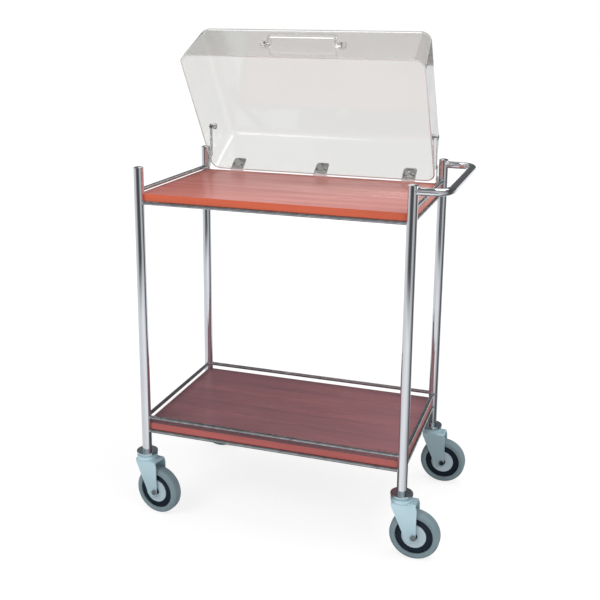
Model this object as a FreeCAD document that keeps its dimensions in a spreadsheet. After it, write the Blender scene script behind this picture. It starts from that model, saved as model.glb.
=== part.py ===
"""Carving trolley: a two-tier tube cart on swivel casters with a hinged clear hood.

Millimetres, +Z up, +X towards the push handle, -Y towards the side the hood opens to.
The origin is on the floor, midway between the four posts. The hood stands open.
"""
import FreeCAD, Part
import os
import re

import Sketcher
from FreeCAD import Placement, Rotation, Vector

# ---------------------------------------------------------------- driving dimensions
SIZES = {
    # frame of four posts
    "post_spacing_x": 690.0,
    "post_spacing_y": 410.0,
    "post_radius": 12.5,
    "post_wall": 1.5,
    "post_top": 926.0,
    "cap_rise": 4.0,
    "cap_plug": 14.0,
    # boards and the rods that carry and guard them
    "board_thickness": 18.0,
    "top_board_height": 862.0,
    "lower_board_height": 247.0,
    "notch_clearance": 0.4,
    "rod_radius": 5.0,
    "side_rail_rise": 8.0,
    "guard_rail_rise": 15.0,
    # push handle
    "handle_radius": 9.5,
    "handle_drop": 12.0,
    "handle_reach": 82.0,
    "handle_bend": 42.0,
    # hood
    "hood_side_gap": 20.0,
    "hood_depth": 394.0,
    "hood_height": 152.0,
    "hood_wall": 4.0,
    "hood_draft": 4.0,
    "hood_round": 28.0,
    "hood_open": 57.0,
    "rim_gap": 0.5,
    # butt hinges
    "hinge_inset": 75.0,
    "hinge_rise": 1.0,
    "knuckle_radius": 3.5,
    "hinge_pin_radius": 1.5,
    "leaf_width": 37.0,
    "leaf_thickness": 1.6,
    "fixed_leaf_height": 17.0,
    "moving_leaf_height": 44.0,
    "leaf_corner": 9.0,
    "knuckle_share": 10.0,
    "knuckle_gap": 0.3,
    "pin_clearance": 0.05,
    # screws
    "screw_radius": 2.0,
    "screw_head_radius": 3.8,
    "screw_head_height": 2.2,
    "screw_hole_clearance": 0.3,
    "wood_screw_length": 13.0,
    "leaf_screw_inset": 6.5,
    "leaf_low_screws": 17.0,
    # lift handle on the hood's front wall
    "lift_spacing": 206.0,
    "lift_foot": 22.0,
    "lift_reach": 27.0,
    "lift_strip": 5.0,
    "lift_width": 18.0,
    "lift_bend": 8.0,
    "lift_height": 58.0,
    # folding stay
    "stay_foot_forward": 15.0,
    "stay_foot_rise": 14.0,
    "stay_stud_forward": 109.7,
    "stay_stud_rise": 59.4,
    "stay_lower_length": 31.0,
    "stay_upper_length": 80.0,
    "stay_link_radius": 7.0,
    "stay_link_thickness": 2.0,
    "stay_link_gap": 0.4,
    "stay_wall_gap": 1.0,
    "stay_rivet_radius": 2.5,
    "stay_stud_radius": 3.0,
    "stay_slot_play": 4.4,
    "stay_slot_clearance": 0.8,
    "stay_knob_radius": 8.0,
    "stay_knob_length": 7.0,
    "bracket_length": 30.0,
    "bracket_setback": 2.0,
    # casters
    "caster_top": 167.0,
    "wheel_radius": 62.5,
    "tyre_width": 32.0,
    "tyre_shoulder": 5.0,
    "rim_radius": 47.0,
    "rim_width": 24.0,
    "guard_radius": 34.0,
    "guard_thickness": 4.0,
    "hub_radius": 9.0,
    "hub_gap": 0.5,
    "caster_trail": 36.0,
    "fork_gap": 38.0,
    "fork_wall": 3.0,
    "fork_bend": 5.0,
    "fork_toe": 22.0,
    "fork_heel": 38.0,
    "fork_foot_radius": 15.0,
    "fork_foot_lead": 9.0,
    "fork_crown_drop": 23.5,
    "crown_thickness": 4.5,
    "race_radius": 27.0,
    "race_height": 9.0,
    "race_lip_radius": 24.0,
    "swivel_gap": 0.6,
    "plate_radius": 28.0,
    "plate_thickness": 5.0,
    "king_pin_radius": 6.0,
    "king_nut_radius": 9.5,
    "king_nut_height": 6.0,
    "king_nut_gap": 0.6,
    "plug_length": 55.0,
    "axle_radius": 4.0,
    "axle_head_radius": 7.5,
    "axle_head_height": 5.0,
    "front_left_swivel": -9.5,
}

doc = FreeCAD.newDocument("carving_trolley")
sheet = doc.addObject("Spreadsheet::Sheet", "sizes")
for row, (alias, number) in enumerate(SIZES.items(), start=1):
    sheet.set(f"A{row}", alias)
    sheet.set(f"B{row}", str(number))
    sheet.setAlias(f"B{row}", alias)
doc.recompute()

subparts = []


# ---------------------------------------------------------------- binding helpers
def linked(formula):
    """The formula with every dimension's name pointing at the sheet."""
    return re.sub(r"[a-z][a-z_]+", lambda m: f"sizes.{m[0]}" if m[0] in SIZES else m[0], str(formula))


def value(formula):
    """What a formula of dimensions comes to, as a plain number."""
    return float(sheet.evalExpression(linked(formula)))


def tie(item, **properties):
    """Bind properties to formulas of the sheet's dimensions."""
    for name, formula in properties.items():
        item.setExpression(name, linked(formula))
    return item


def place(item, x="0", y="0", z="0", axis=None, angle="0"):
    """Bind a placement: a point, and a turn about one axis through it."""
    if axis:
        item.Placement = Placement(Vector(), Rotation(Vector(*axis), 1))
        item.setExpression("Placement.Rotation.Angle", linked(angle))
    for letter, formula in zip("xyz", (x, y, z)):
        item.setExpression(f"Placement.Base.{letter}", linked(formula))
    return item


def subpart(item, label):
    """Name a finished sub-part and keep it for the export."""
    item.Label = label
    subparts.append(item)
    return item


# ---------------------------------------------------------------- solids
X_AXIS, Y_AXIS, Z_AXIS = (1, 0, 0), (0, 1, 0), (0, 0, 1)
ALONG = {"x": (Y_AXIS, "90"), "y": (X_AXIS, "-90"), "z": (Z_AXIS, "0")}


def cylinder(name, radius, length, x="0", y="0", z="0", along="z"):
    rod = doc.addObject("Part::Cylinder", name)
    axis, angle = ALONG[along]
    return place(tie(rod, Radius=radius, Height=length), x, y, z, axis, angle)


def box(name, size, corner):
    block = doc.addObject("Part::Box", name)
    return place(tie(block, Length=size[0], Width=size[1], Height=size[2]), *corner)


def hexagon(name, radius, length, x, y, z):
    """A hexagon bar along Y."""
    bar = doc.addObject("Part::Prism", name)
    bar.Polygon = 6
    return place(tie(bar, Circumradius=radius, Height=length), x, y, z, *ALONG["y"])


def joined(name, pieces):
    fusion = doc.addObject("Part::MultiFuse", name)
    fusion.Shapes = pieces
    return fusion


def without(name, base, tool):
    cut = doc.addObject("Part::Cut", name)
    cut.Base, cut.Tool = base, tool
    return cut


def group(name, pieces):
    """Separate solids kept side by side."""
    compound = doc.addObject("Part::Compound", name)
    compound.Links = pieces
    return compound


def new_body(name):
    return doc.addObject("PartDesign::Body", name)


def sketch_on(body, role):
    sketch = body.newObject("Sketcher::SketchObject", f"{body.Name}_sketch")
    plane = next(item for item in body.Origin.OriginFeatures if item.Role == role)
    sketch.AttachmentSupport = [(plane, "")]
    sketch.MapMode = "FlatFace"
    return sketch


def pin_down(sketch, geometry, point, formula_x, formula_y):
    """Hold one sketch point at a place given by two formulas."""
    for kind, formula in (("DistanceX", formula_x), ("DistanceY", formula_y)):
        number = sketch.addConstraint(Sketcher.Constraint(kind, -1, 1, geometry, point, value(formula)))
        sketch.setExpression(f"Constraints[{number}]", linked(formula))


def outline(sketch, corners):
    """A closed outline of straight sides through corners given as formula pairs."""
    points = [Vector(value(x), value(y), 0) for x, y in corners]
    count = len(points)
    for i in range(count):
        sketch.addGeometry(Part.LineSegment(points[i], points[(i + 1) % count]))
    for i in range(count):
        sketch.addConstraint(Sketcher.Constraint("Coincident", i, 2, (i + 1) % count, 1))
        pin_down(sketch, i, 1, *corners[i])
    return sketch


def circle(sketch, x, y, radius):
    centre = Vector(value(x), value(y), 0)
    index = sketch.addGeometry(Part.Circle(centre, Vector(0, 0, 1), value(radius)))
    number = sketch.addConstraint(Sketcher.Constraint("Radius", index, value(radius)))
    sketch.setExpression(f"Constraints[{number}]", linked(radius))
    pin_down(sketch, index, 3, x, y)
    return sketch


def pad(body, sketch, length, symmetric=False, taper="0"):
    feature = body.newObject("PartDesign::Pad", f"{body.Name}_pad")
    feature.Profile = (sketch, [""])
    feature.SideType = "Symmetric" if symmetric else "One side"
    return tie(feature, Length=length, TaperAngle=taper)


def pocket(body, sketch):
    """Cut a sketch's shape away, right through both ways."""
    feature = body.newObject("PartDesign::Pocket", f"{body.Name}_pocket")
    feature.Profile = (sketch, [""])
    feature.SideType = "Symmetric"
    feature.Type = "ThroughAll"
    return feature


def revolved(body, sketch, axis):
    feature = body.newObject("PartDesign::Revolution", f"{body.Name}_revolution")
    feature.Profile = (sketch, [""])
    feature.ReferenceAxis = (sketch, [axis])
    feature.Angle = 360.0
    return feature


def rounded(body, feature, radius, chosen):
    """Round the edges of a feature that a test picks."""
    doc.recompute()
    names = [f"Edge{i}" for i, edge in enumerate(feature.Shape.Edges, start=1) if chosen(edge)]
    fillet = body.newObject("PartDesign::Fillet", f"{body.Name}_fillet")
    fillet.Base = (feature, names)
    return tie(fillet, Radius=radius)


# ---------------------------------------------------------------- places
CORNERS = {
    "front_left": ("-post_spacing_x / 2", "-post_spacing_y / 2"),
    "front_right": ("post_spacing_x / 2", "-post_spacing_y / 2"),
    "back_left": ("-post_spacing_x / 2", "post_spacing_y / 2"),
    "back_right": ("post_spacing_x / 2", "post_spacing_y / 2"),
}
SIDES = {"left": "-1", "right": "1"}

# The hood fits between the posts, and its outer hinges keep their distance from its side walls.
HOOD_WIDTH = "(post_spacing_x - 2 * hood_side_gap)"
HINGE_X = f"({HOOD_WIDTH} / 2 - hinge_inset)"
HINGES = {"left": f"-{HINGE_X}", "middle": "0", "right": HINGE_X}

# The hinge axis lies behind the top board's back edge, a knuckle's radius away.
HINGE_Y = "post_spacing_y / 2 + knuckle_radius"
HINGE_Z = "top_board_height + hinge_rise"
RIM_Z = "rim_gap - hinge_rise"


def on_hood(item, x="0", y="0", z="0"):
    """Carry a piece modelled with the hood shut, the hinge axis as its origin, to the open hood."""
    lean = f"({y}) * cos(hood_open) + ({z}) * sin(hood_open)"
    lift = f"({z}) * cos(hood_open) - ({y}) * sin(hood_open)"
    return place(item, x, f"{HINGE_Y} + {lean}", f"{HINGE_Z} + {lift}", X_AXIS, "-hood_open")


def on_caster(item, corner):
    """Carry a piece modelled on the swivel axis, trailing along +X, to its corner."""
    swivel = "front_left_swivel" if corner == "front_left" else "0"
    return place(item, *CORNERS[corner], "0", Z_AXIS, swivel)


# ---------------------------------------------------------------- frame
POST_LENGTH = "post_top - caster_top"


def build_posts():
    for corner, (x, y) in CORNERS.items():
        tube = cylinder(f"{corner}_tube", "post_radius", POST_LENGTH, x, y, "caster_top")
        bore = cylinder(f"{corner}_bore", "post_radius - post_wall", POST_LENGTH, x, y, "caster_top")
        subpart(without(f"post_{corner}", tube, bore), f"post_{corner}")


def build_post_caps():
    """Shallow caps, each a slice off a ball, with a plug that goes into the post."""
    ball = "(post_radius^2 + cap_rise^2) / (2 * cap_rise)"
    caps = []
    for corner, (x, y) in CORNERS.items():
        dome = doc.addObject("Part::Sphere", f"{corner}_dome")
        tie(dome, Radius=ball, Angle1=f"asin(1 - cap_rise / ({ball}))")
        place(dome, x, y, f"post_top + cap_rise - {ball}")
        plug = cylinder(f"{corner}_plug", "post_radius - post_wall", "cap_plug", x, y, "post_top - cap_plug")
        caps.append(joined(f"{corner}_cap", [dome, plug]))
    subpart(group("post_end_caps", caps), "post_end_caps")


def posts_outside(name):
    """Solid cylinders where the posts are, to end rods and tubes against them."""
    return group(
        name,
        [
            cylinder(f"{name}_{corner}", "post_radius", "post_top + cap_rise", x, y)
            for corner, (x, y) in CORNERS.items()
        ],
    )


def rods_between_posts(label, z, front_and_back, left_and_right):
    """Rods from post to post at one height, their ends shaped to the posts."""
    rods = []
    for side, sign in (("front", "-1"), ("back", "1")) if front_and_back else ():
        y = f"{sign} * post_spacing_y / 2"
        rods.append(
            cylinder(f"{label}_{side}", "rod_radius", "post_spacing_x", "-post_spacing_x / 2", y, z, "x")
        )
    for side, sign in SIDES.items() if left_and_right else ():
        x = f"{sign} * post_spacing_x / 2"
        rods.append(
            cylinder(f"{label}_{side}", "rod_radius", "post_spacing_y", x, "-post_spacing_y / 2", z, "y")
        )
    tool = posts_outside(f"{label}_posts")
    subpart(without(label, group(f"{label}_rods", rods), tool), label)


def board(name, top):
    """A board as large as the posts' centre lines, notched round each post."""
    body = new_body(name)
    half_x, half_y = "post_spacing_x / 2", "post_spacing_y / 2"
    rectangle = outline(
        sketch_on(body, "XY_Plane"),
        [
            (f"-{half_x}", f"-{half_y}"),
            (half_x, f"-{half_y}"),
            (half_x, half_y),
            (f"-{half_x}", half_y),
        ],
    )
    pad(body, rectangle, "board_thickness")
    notches = sketch_on(body, "XY_Plane")
    for x, y in CORNERS.values():
        circle(notches, x, y, "post_radius + notch_clearance")
    pocket(body, notches)
    return place(body, z=f"{top} - board_thickness")


def build_push_handle():
    """A closed tube from post to post: two arms, two quarter bends and a cross bar."""
    height = "post_top - handle_drop"
    arm = "handle_reach - handle_bend"
    bend_x = f"post_spacing_x / 2 + {arm}"
    bar_x = "post_spacing_x / 2 + handle_reach"
    bar_length = "post_spacing_y - 2 * handle_bend"
    pieces = [cylinder("handle_bar", "handle_radius", bar_length, bar_x, f"-({bar_length}) / 2", height, "y")]
    for side, sign, turn in (("front", "-1", "-90"), ("back", "1", "0")):
        y = f"{sign} * post_spacing_y / 2"
        pieces.append(
            cylinder(f"handle_{side}", "handle_radius", arm, "post_spacing_x / 2", y, height, "x")
        )
        bend = doc.addObject("Part::Torus", f"handle_{side}_bend")
        bend.Angle3 = 90.0
        tie(bend, Radius1="handle_bend", Radius2="handle_radius")
        pieces.append(place(bend, bend_x, f"{sign} * ({bar_length}) / 2", height, Z_AXIS, turn))
    tube = joined("handle_tube", pieces)
    subpart(without("push_handle", tube, posts_outside("handle_posts")), "push_handle")


# ---------------------------------------------------------------- hinges
def screw(name, x, y, z, length, head_side, nut_at=None):
    """A screw along Y with its head's seat at y, pointing away from head_side ("1" or "-1").

    With nut_at, a hexagon nut as wide as the head sits at that y.
    """
    shank_y = y if head_side == "-1" else f"{y} - ({length})"
    head_y = f"{y} - screw_head_height" if head_side == "-1" else y
    pieces = [
        cylinder(f"{name}_shank", "screw_radius", length, x, shank_y, z, "y"),
        cylinder(f"{name}_head", "screw_head_radius", "screw_head_height", x, head_y, z, "y"),
    ]
    if nut_at:
        pieces.append(hexagon(f"{name}_nut", "screw_head_radius", "screw_head_height", x, nut_at, z))
    return joined(name, pieces)


def screw_hole(name, x, y, z, length):
    return cylinder(name, "screw_radius + screw_hole_clearance", length, x, y, z, "y")


FIXED_SCREWS = [("-leaf_width / 2 + leaf_screw_inset", "-fixed_leaf_height + leaf_screw_inset"),
                ("leaf_width / 2 - leaf_screw_inset", "-fixed_leaf_height + leaf_screw_inset")]
MOVING_SCREWS = [("-leaf_width / 2 + leaf_screw_inset", "leaf_low_screws"),
                 ("leaf_width / 2 - leaf_screw_inset", "leaf_low_screws"),
                 ("0", "moving_leaf_height - leaf_screw_inset")]
LEAF_BACK = "-knuckle_radius + leaf_thickness"


def corner_waste(name, side, height):
    """What is cut off a leaf's upper corner to leave it round."""
    start = "-leaf_width / 2" if side == "-1" else "leaf_width / 2 - leaf_corner"
    block = box(f"{name}_block", ("leaf_corner", "leaf_thickness", "leaf_corner"),
                (start, "-knuckle_radius", f"{height} - leaf_corner"))
    kept = cylinder(f"{name}_kept", "leaf_corner", "leaf_thickness",
                    f"{side} * (leaf_width / 2 - leaf_corner)", "-knuckle_radius",
                    f"{height} - leaf_corner", "y")
    return without(name, block, kept)


def hinge_leaf(name, height, low, knuckles, gaps, screws, round_top=False):
    """A leaf plate, tangent to the barrel, with its share of the knuckles and its screw holes.

    low is the plate's lowest height; knuckles and gaps are (start, length) pairs along X.
    """
    plate = box(f"{name}_plate", ("leaf_width", "leaf_thickness", height),
                ("-leaf_width / 2", "-knuckle_radius", low))
    reach = "2 * knuckle_radius + 2 * knuckle_gap"
    cuts = [
        box(f"{name}_gap_{i}", (length, reach, reach),
            (start, "-knuckle_radius - knuckle_gap", "-knuckle_radius - knuckle_gap"))
        for i, (start, length) in enumerate(gaps)
    ]
    cuts += [
        screw_hole(f"{name}_hole_{i}", x, "-knuckle_radius", z, "leaf_thickness")
        for i, (x, z) in enumerate(screws)
    ]
    if round_top:
        cuts += [corner_waste(f"{name}_corner_{i}", sign, height) for i, sign in enumerate(SIDES.values())]
    notched = without(f"{name}_notched", plate, group(f"{name}_cuts", cuts))
    barrels = [
        cylinder(f"{name}_knuckle_{i}", "knuckle_radius", length, start, "0", "0", "x")
        for i, (start, length) in enumerate(knuckles)
    ]
    return joined(f"{name}_leaf", [notched] + barrels)


def build_hinges():
    half_share = "knuckle_share / 2"
    outer = "leaf_width / 2 - knuckle_share / 2"
    outer_knuckles = [("-leaf_width / 2", outer), (half_share, outer)]
    middle_knuckle = [(f"-{half_share} + knuckle_gap", "knuckle_share - 2 * knuckle_gap")]
    middle_gap = [(f"-{half_share}", "knuckle_share")]
    outer_gaps = [
        ("-leaf_width / 2", f"{outer} + knuckle_gap"),
        (f"{half_share} - knuckle_gap", f"{outer} + knuckle_gap"),
    ]
    pins = []
    for side, x in HINGES.items():
        fixed = hinge_leaf(f"fixed_{side}", "fixed_leaf_height - hinge_rise", "-fixed_leaf_height",
                           outer_knuckles, middle_gap, FIXED_SCREWS)
        bore = cylinder(f"fixed_{side}_bore", "hinge_pin_radius", "leaf_width", "-leaf_width / 2", along="x")
        subpart(place(without(f"hinge_fixed_{side}", fixed, bore), x, HINGE_Y, HINGE_Z),
                f"hinge_fixed_leaf_{side}")

        moving = hinge_leaf(f"moving_{side}", "moving_leaf_height", "0",
                            middle_knuckle, outer_gaps, MOVING_SCREWS, round_top=True)
        bore = cylinder(f"moving_{side}_bore", "hinge_pin_radius + pin_clearance", "leaf_width",
                        "-leaf_width / 2", along="x")
        leaf = without(f"hinge_moving_{side}", moving, bore)
        leaning = place(group(f"moving_{side}_leaning", [leaf]), x, axis=X_AXIS, angle="hood_draft")
        subpart(on_hood(group(f"hinge_moving_{side}_open", [leaning])), f"hinge_moving_leaf_{side}")

        pins.append(cylinder(f"hinge_pin_{side}", "hinge_pin_radius", "leaf_width",
                             f"{x} - leaf_width / 2", HINGE_Y, HINGE_Z, "x"))
    subpart(group("hinge_pins", pins), "hinge_pins")


def build_hinge_screws():
    board_screws = [
        screw(f"board_screw_{side}_{i}", f"{at} + {x}", f"{HINGE_Y} + {LEAF_BACK}",
              f"{HINGE_Z} + {z}", "wood_screw_length", "1")
        for side, at in HINGES.items()
        for i, (x, z) in enumerate(FIXED_SCREWS)
    ]
    subpart(group("hinge_board_screws", board_screws), "hinge_board_screws")

    grip = "leaf_thickness + hood_wall"
    hood_screws = [
        screw(f"hood_screw_{side}_{i}", f"{at} + {x}", "-knuckle_radius - hood_wall", z, grip, "-1", LEAF_BACK)
        for side, at in HINGES.items()
        for i, (x, z) in enumerate(MOVING_SCREWS)
    ]
    leaning = place(group("hood_screws_leaning", hood_screws), axis=X_AXIS, angle="hood_draft")
    subpart(on_hood(group("hood_screws_open", [leaning])), "hinge_hood_screws")


def build_boards():
    pilots = [
        screw_hole(f"pilot_{side}_{i}", f"{at} + {x}", f"{HINGE_Y} + {LEAF_BACK} - wood_screw_length",
                   f"{HINGE_Z} + {z}", "wood_screw_length")
        for side, at in HINGES.items()
        for i, (x, z) in enumerate(FIXED_SCREWS)
    ]
    top = without("top_board_drilled", board("top_board", "top_board_height"), group("pilots", pilots))
    subpart(top, "top_shelf_board")
    subpart(board("lower_board", "lower_board_height"), "lower_shelf_board")


# ---------------------------------------------------------------- hood
# Modelled shut: the hinge axis is the origin, the rim lies low and the front is towards -Y.
RIM_BACK = f"(-knuckle_radius - ({RIM_Z}) * sin(hood_draft)) / cos(hood_draft)"
RIM_FRONT = f"{RIM_BACK} - hood_depth"
SIDE_WALL = f"{HOOD_WIDTH} / 2"


def lift_place():
    """Where the lift handle's middle lies on the drafted front wall."""
    return f"{RIM_FRONT} + (lift_height - ({RIM_Z})) * tan(hood_draft)", "lift_height"


def hood_block(name, inset):
    """The hood's drafted, rounded block, drawn in by inset on every side but the rim."""
    body = new_body(name)
    height = f"(hood_height - {inset})"
    lean = f"{height} * tan(hood_draft)"
    side = f"({SIDE_WALL} - {inset})"
    back, front = f"-({RIM_BACK}) + {inset}", f"-({RIM_FRONT}) - {inset}"
    block = body.newObject("PartDesign::AdditiveWedge", f"{name}_block")
    tie(block, Ymin="0", Ymax=height, Xmin=f"-{side}", Xmax=side, X2min=f"{lean} - {side}",
        X2max=f"{side} - {lean}", Zmin=back, Zmax=front, Z2min=f"{back} + {lean}",
        Z2max=f"{front} - {lean}")
    place(block, axis=X_AXIS, angle="90")
    rounded(body, block, f"hood_round - {inset}", lambda edge: edge.BoundBox.ZMax > 1.0)
    return place(body, z=RIM_Z)


def build_hood_cover():
    """A clear cover of one even wall, open below, drilled for its hinges, handle and stays."""
    shell = without("hood_shell", hood_block("hood_outside", "0"), hood_block("hood_inside", "hood_wall"))
    holes = [
        screw_hole(f"hood_hole_{side}_{i}", f"{at} + {x}", "-knuckle_radius - 2 * hood_wall", z, "3 * hood_wall")
        for side, at in HINGES.items()
        for i, (x, z) in enumerate(MOVING_SCREWS)
    ]
    hinge_holes = place(group("hood_hinge_holes", holes), axis=X_AXIS, angle="hood_draft")
    lift_holes = [
        screw_hole(f"lift_hole_{side}", f"{sign} * lift_spacing / 2", "-hood_wall", "0", "3 * hood_wall")
        for side, sign in SIDES.items()
    ]
    front_y, front_z = lift_place()
    lift_holes = place(group("hood_lift_holes", lift_holes), "0", front_y, front_z, X_AXIS, "-hood_draft")
    stud_hole = cylinder("stud_hole", "stay_stud_radius + screw_hole_clearance", HOOD_WIDTH,
                         f"-{SIDE_WALL}", "-stay_stud_forward", "stay_stud_rise", "x")
    drilled = without("hood_drilled", shell, group("hood_holes", [hinge_holes, lift_holes, stud_hole]))
    subpart(on_hood(group("hood_open_shell", [drilled])), "hood_cover")


def build_lift_handle():
    """A bent strip: two feet flat on the wall, two risers and a bar, with a screw in each foot."""
    body = new_body("lift_strip")
    foot_out = "lift_spacing / 2 + lift_foot / 2"
    foot_in = "lift_spacing / 2 - lift_foot / 2"
    top, low = "-lift_reach", "-lift_strip"
    half = [
        (foot_out, "0"),
        (f"{foot_in} - lift_strip", "0"),
        (f"{foot_in} - lift_strip", "-lift_reach + lift_strip"),
    ]
    far_half = [(f"-({x})", y) for x, y in reversed(half)]
    over = [(f"-({foot_out})", low), (f"-({foot_in})", low), (f"-({foot_in})", top),
            (foot_in, top), (foot_in, low), (foot_out, low)]
    strip = pad(body, outline(sketch_on(body, "XY_Plane"), half + far_half + over), "lift_width", True)

    bar_x = value(foot_in)
    tall = value("lift_reach")

    def at_bend(x, y):
        def chosen(edge):
            point = edge.CenterOfMass
            along_z = edge.BoundBox.ZLength > 0.5 * value("lift_width")
            return along_z and abs(abs(point.x) - x) < 1e-3 and abs(point.y - y) < 1e-3
        return chosen

    strip = rounded(body, strip, "lift_bend", at_bend(bar_x, -tall))
    inner_x = bar_x - value("lift_strip")
    rounded(body, strip, "lift_bend - lift_strip", at_bend(inner_x, value("lift_strip") - tall))

    holes = [
        screw_hole(f"strip_hole_{side}", f"{sign} * lift_spacing / 2", "-2 * lift_strip", "0", "3 * lift_strip")
        for side, sign in SIDES.items()
    ]
    strip = without("lift_strip_drilled", body, group("strip_holes", holes))
    front_y, front_z = lift_place()
    leaning = place(group("lift_leaning", [strip]), "0", front_y, front_z, X_AXIS, "-hood_draft")
    subpart(on_hood(group("lift_open", [leaning])), "hood_lift_handle")

    screws = [
        screw(f"lift_screw_{side}", f"{sign} * lift_spacing / 2", "-lift_strip", "0",
              "lift_strip + hood_wall", "-1", "hood_wall")
        for side, sign in SIDES.items()
    ]
    leaning = place(group("lift_screws_leaning", screws), "0", front_y, front_z, X_AXIS, "-hood_draft")
    subpart(on_hood(group("lift_screws_open", [leaning])), "hood_handle_screws")


# ---------------------------------------------------------------- folding stays
# Layers from the hood's side wall outwards: upper link, lower link, foot bracket.
UPPER_X = f"{HOOD_WIDTH} / 2 + stay_wall_gap"
LOWER_X = f"{UPPER_X} + stay_link_thickness + stay_link_gap"
BRACKET_X = f"{LOWER_X} + stay_link_thickness + stay_link_gap"
BRACKET_END = f"{BRACKET_X} + stay_link_thickness"
FOOT_Y = f"{HINGE_Y} - stay_foot_forward"
FOOT_Z = f"{HINGE_Z} + stay_foot_rise"


def stay_pose():
    """Formulas for the open stay: each link's lean forward of upright, and the elbow's place.

    The links and the line from foot to stud are a triangle, solved with the law of cosines. Places
    are forward of and above the hinge axis.
    """
    stud_forward = "stay_stud_forward * cos(hood_open) - stay_stud_rise * sin(hood_open)"
    stud_rise = "stay_stud_forward * sin(hood_open) + stay_stud_rise * cos(hood_open)"
    across = f"({stud_forward} - stay_foot_forward)"
    up = f"({stud_rise} - stay_foot_rise)"
    lower, upper = "stay_lower_length", "stay_upper_length"
    reach = f"hypot({across}; {up})"
    at_foot = f"acos(({lower}^2 + {reach}^2 - {upper}^2) / (2 * {lower} * {reach}))"
    at_stud = f"acos(({upper}^2 + {reach}^2 - {lower}^2) / (2 * {upper} * {reach}))"
    upright_to_line = f"(90 - atan2({up}; {across}) / 1 deg)"
    lower_lean = f"({upright_to_line} - {at_foot} / 1 deg)"
    upper_lean = f"({upright_to_line} + {at_stud} / 1 deg)"
    elbow_forward = f"stay_foot_forward + {lower} * sin({lower_lean})"
    elbow_rise = f"stay_foot_rise + {lower} * cos({lower_lean})"
    return lower_lean, upper_lean, elbow_forward, elbow_rise


def link_plate(name, length, x):
    """A flat link standing on its lower pivot: a strip with a round end at each pivot."""
    strip = box(f"{name}_strip", ("stay_link_thickness", "2 * stay_link_radius", length),
                (x, "-stay_link_radius", "0"))
    ends = [
        cylinder(f"{name}_end_{i}", "stay_link_radius", "stay_link_thickness", x, "0", z, "x")
        for i, z in enumerate(("0", length))
    ]
    return joined(f"{name}_plate", [strip] + ends)


def handed(x, length, sign):
    """The low X of a span that starts at x on the right-hand side, for either side."""
    return x if sign == "1" else f"-({x}) - ({length})"


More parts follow.
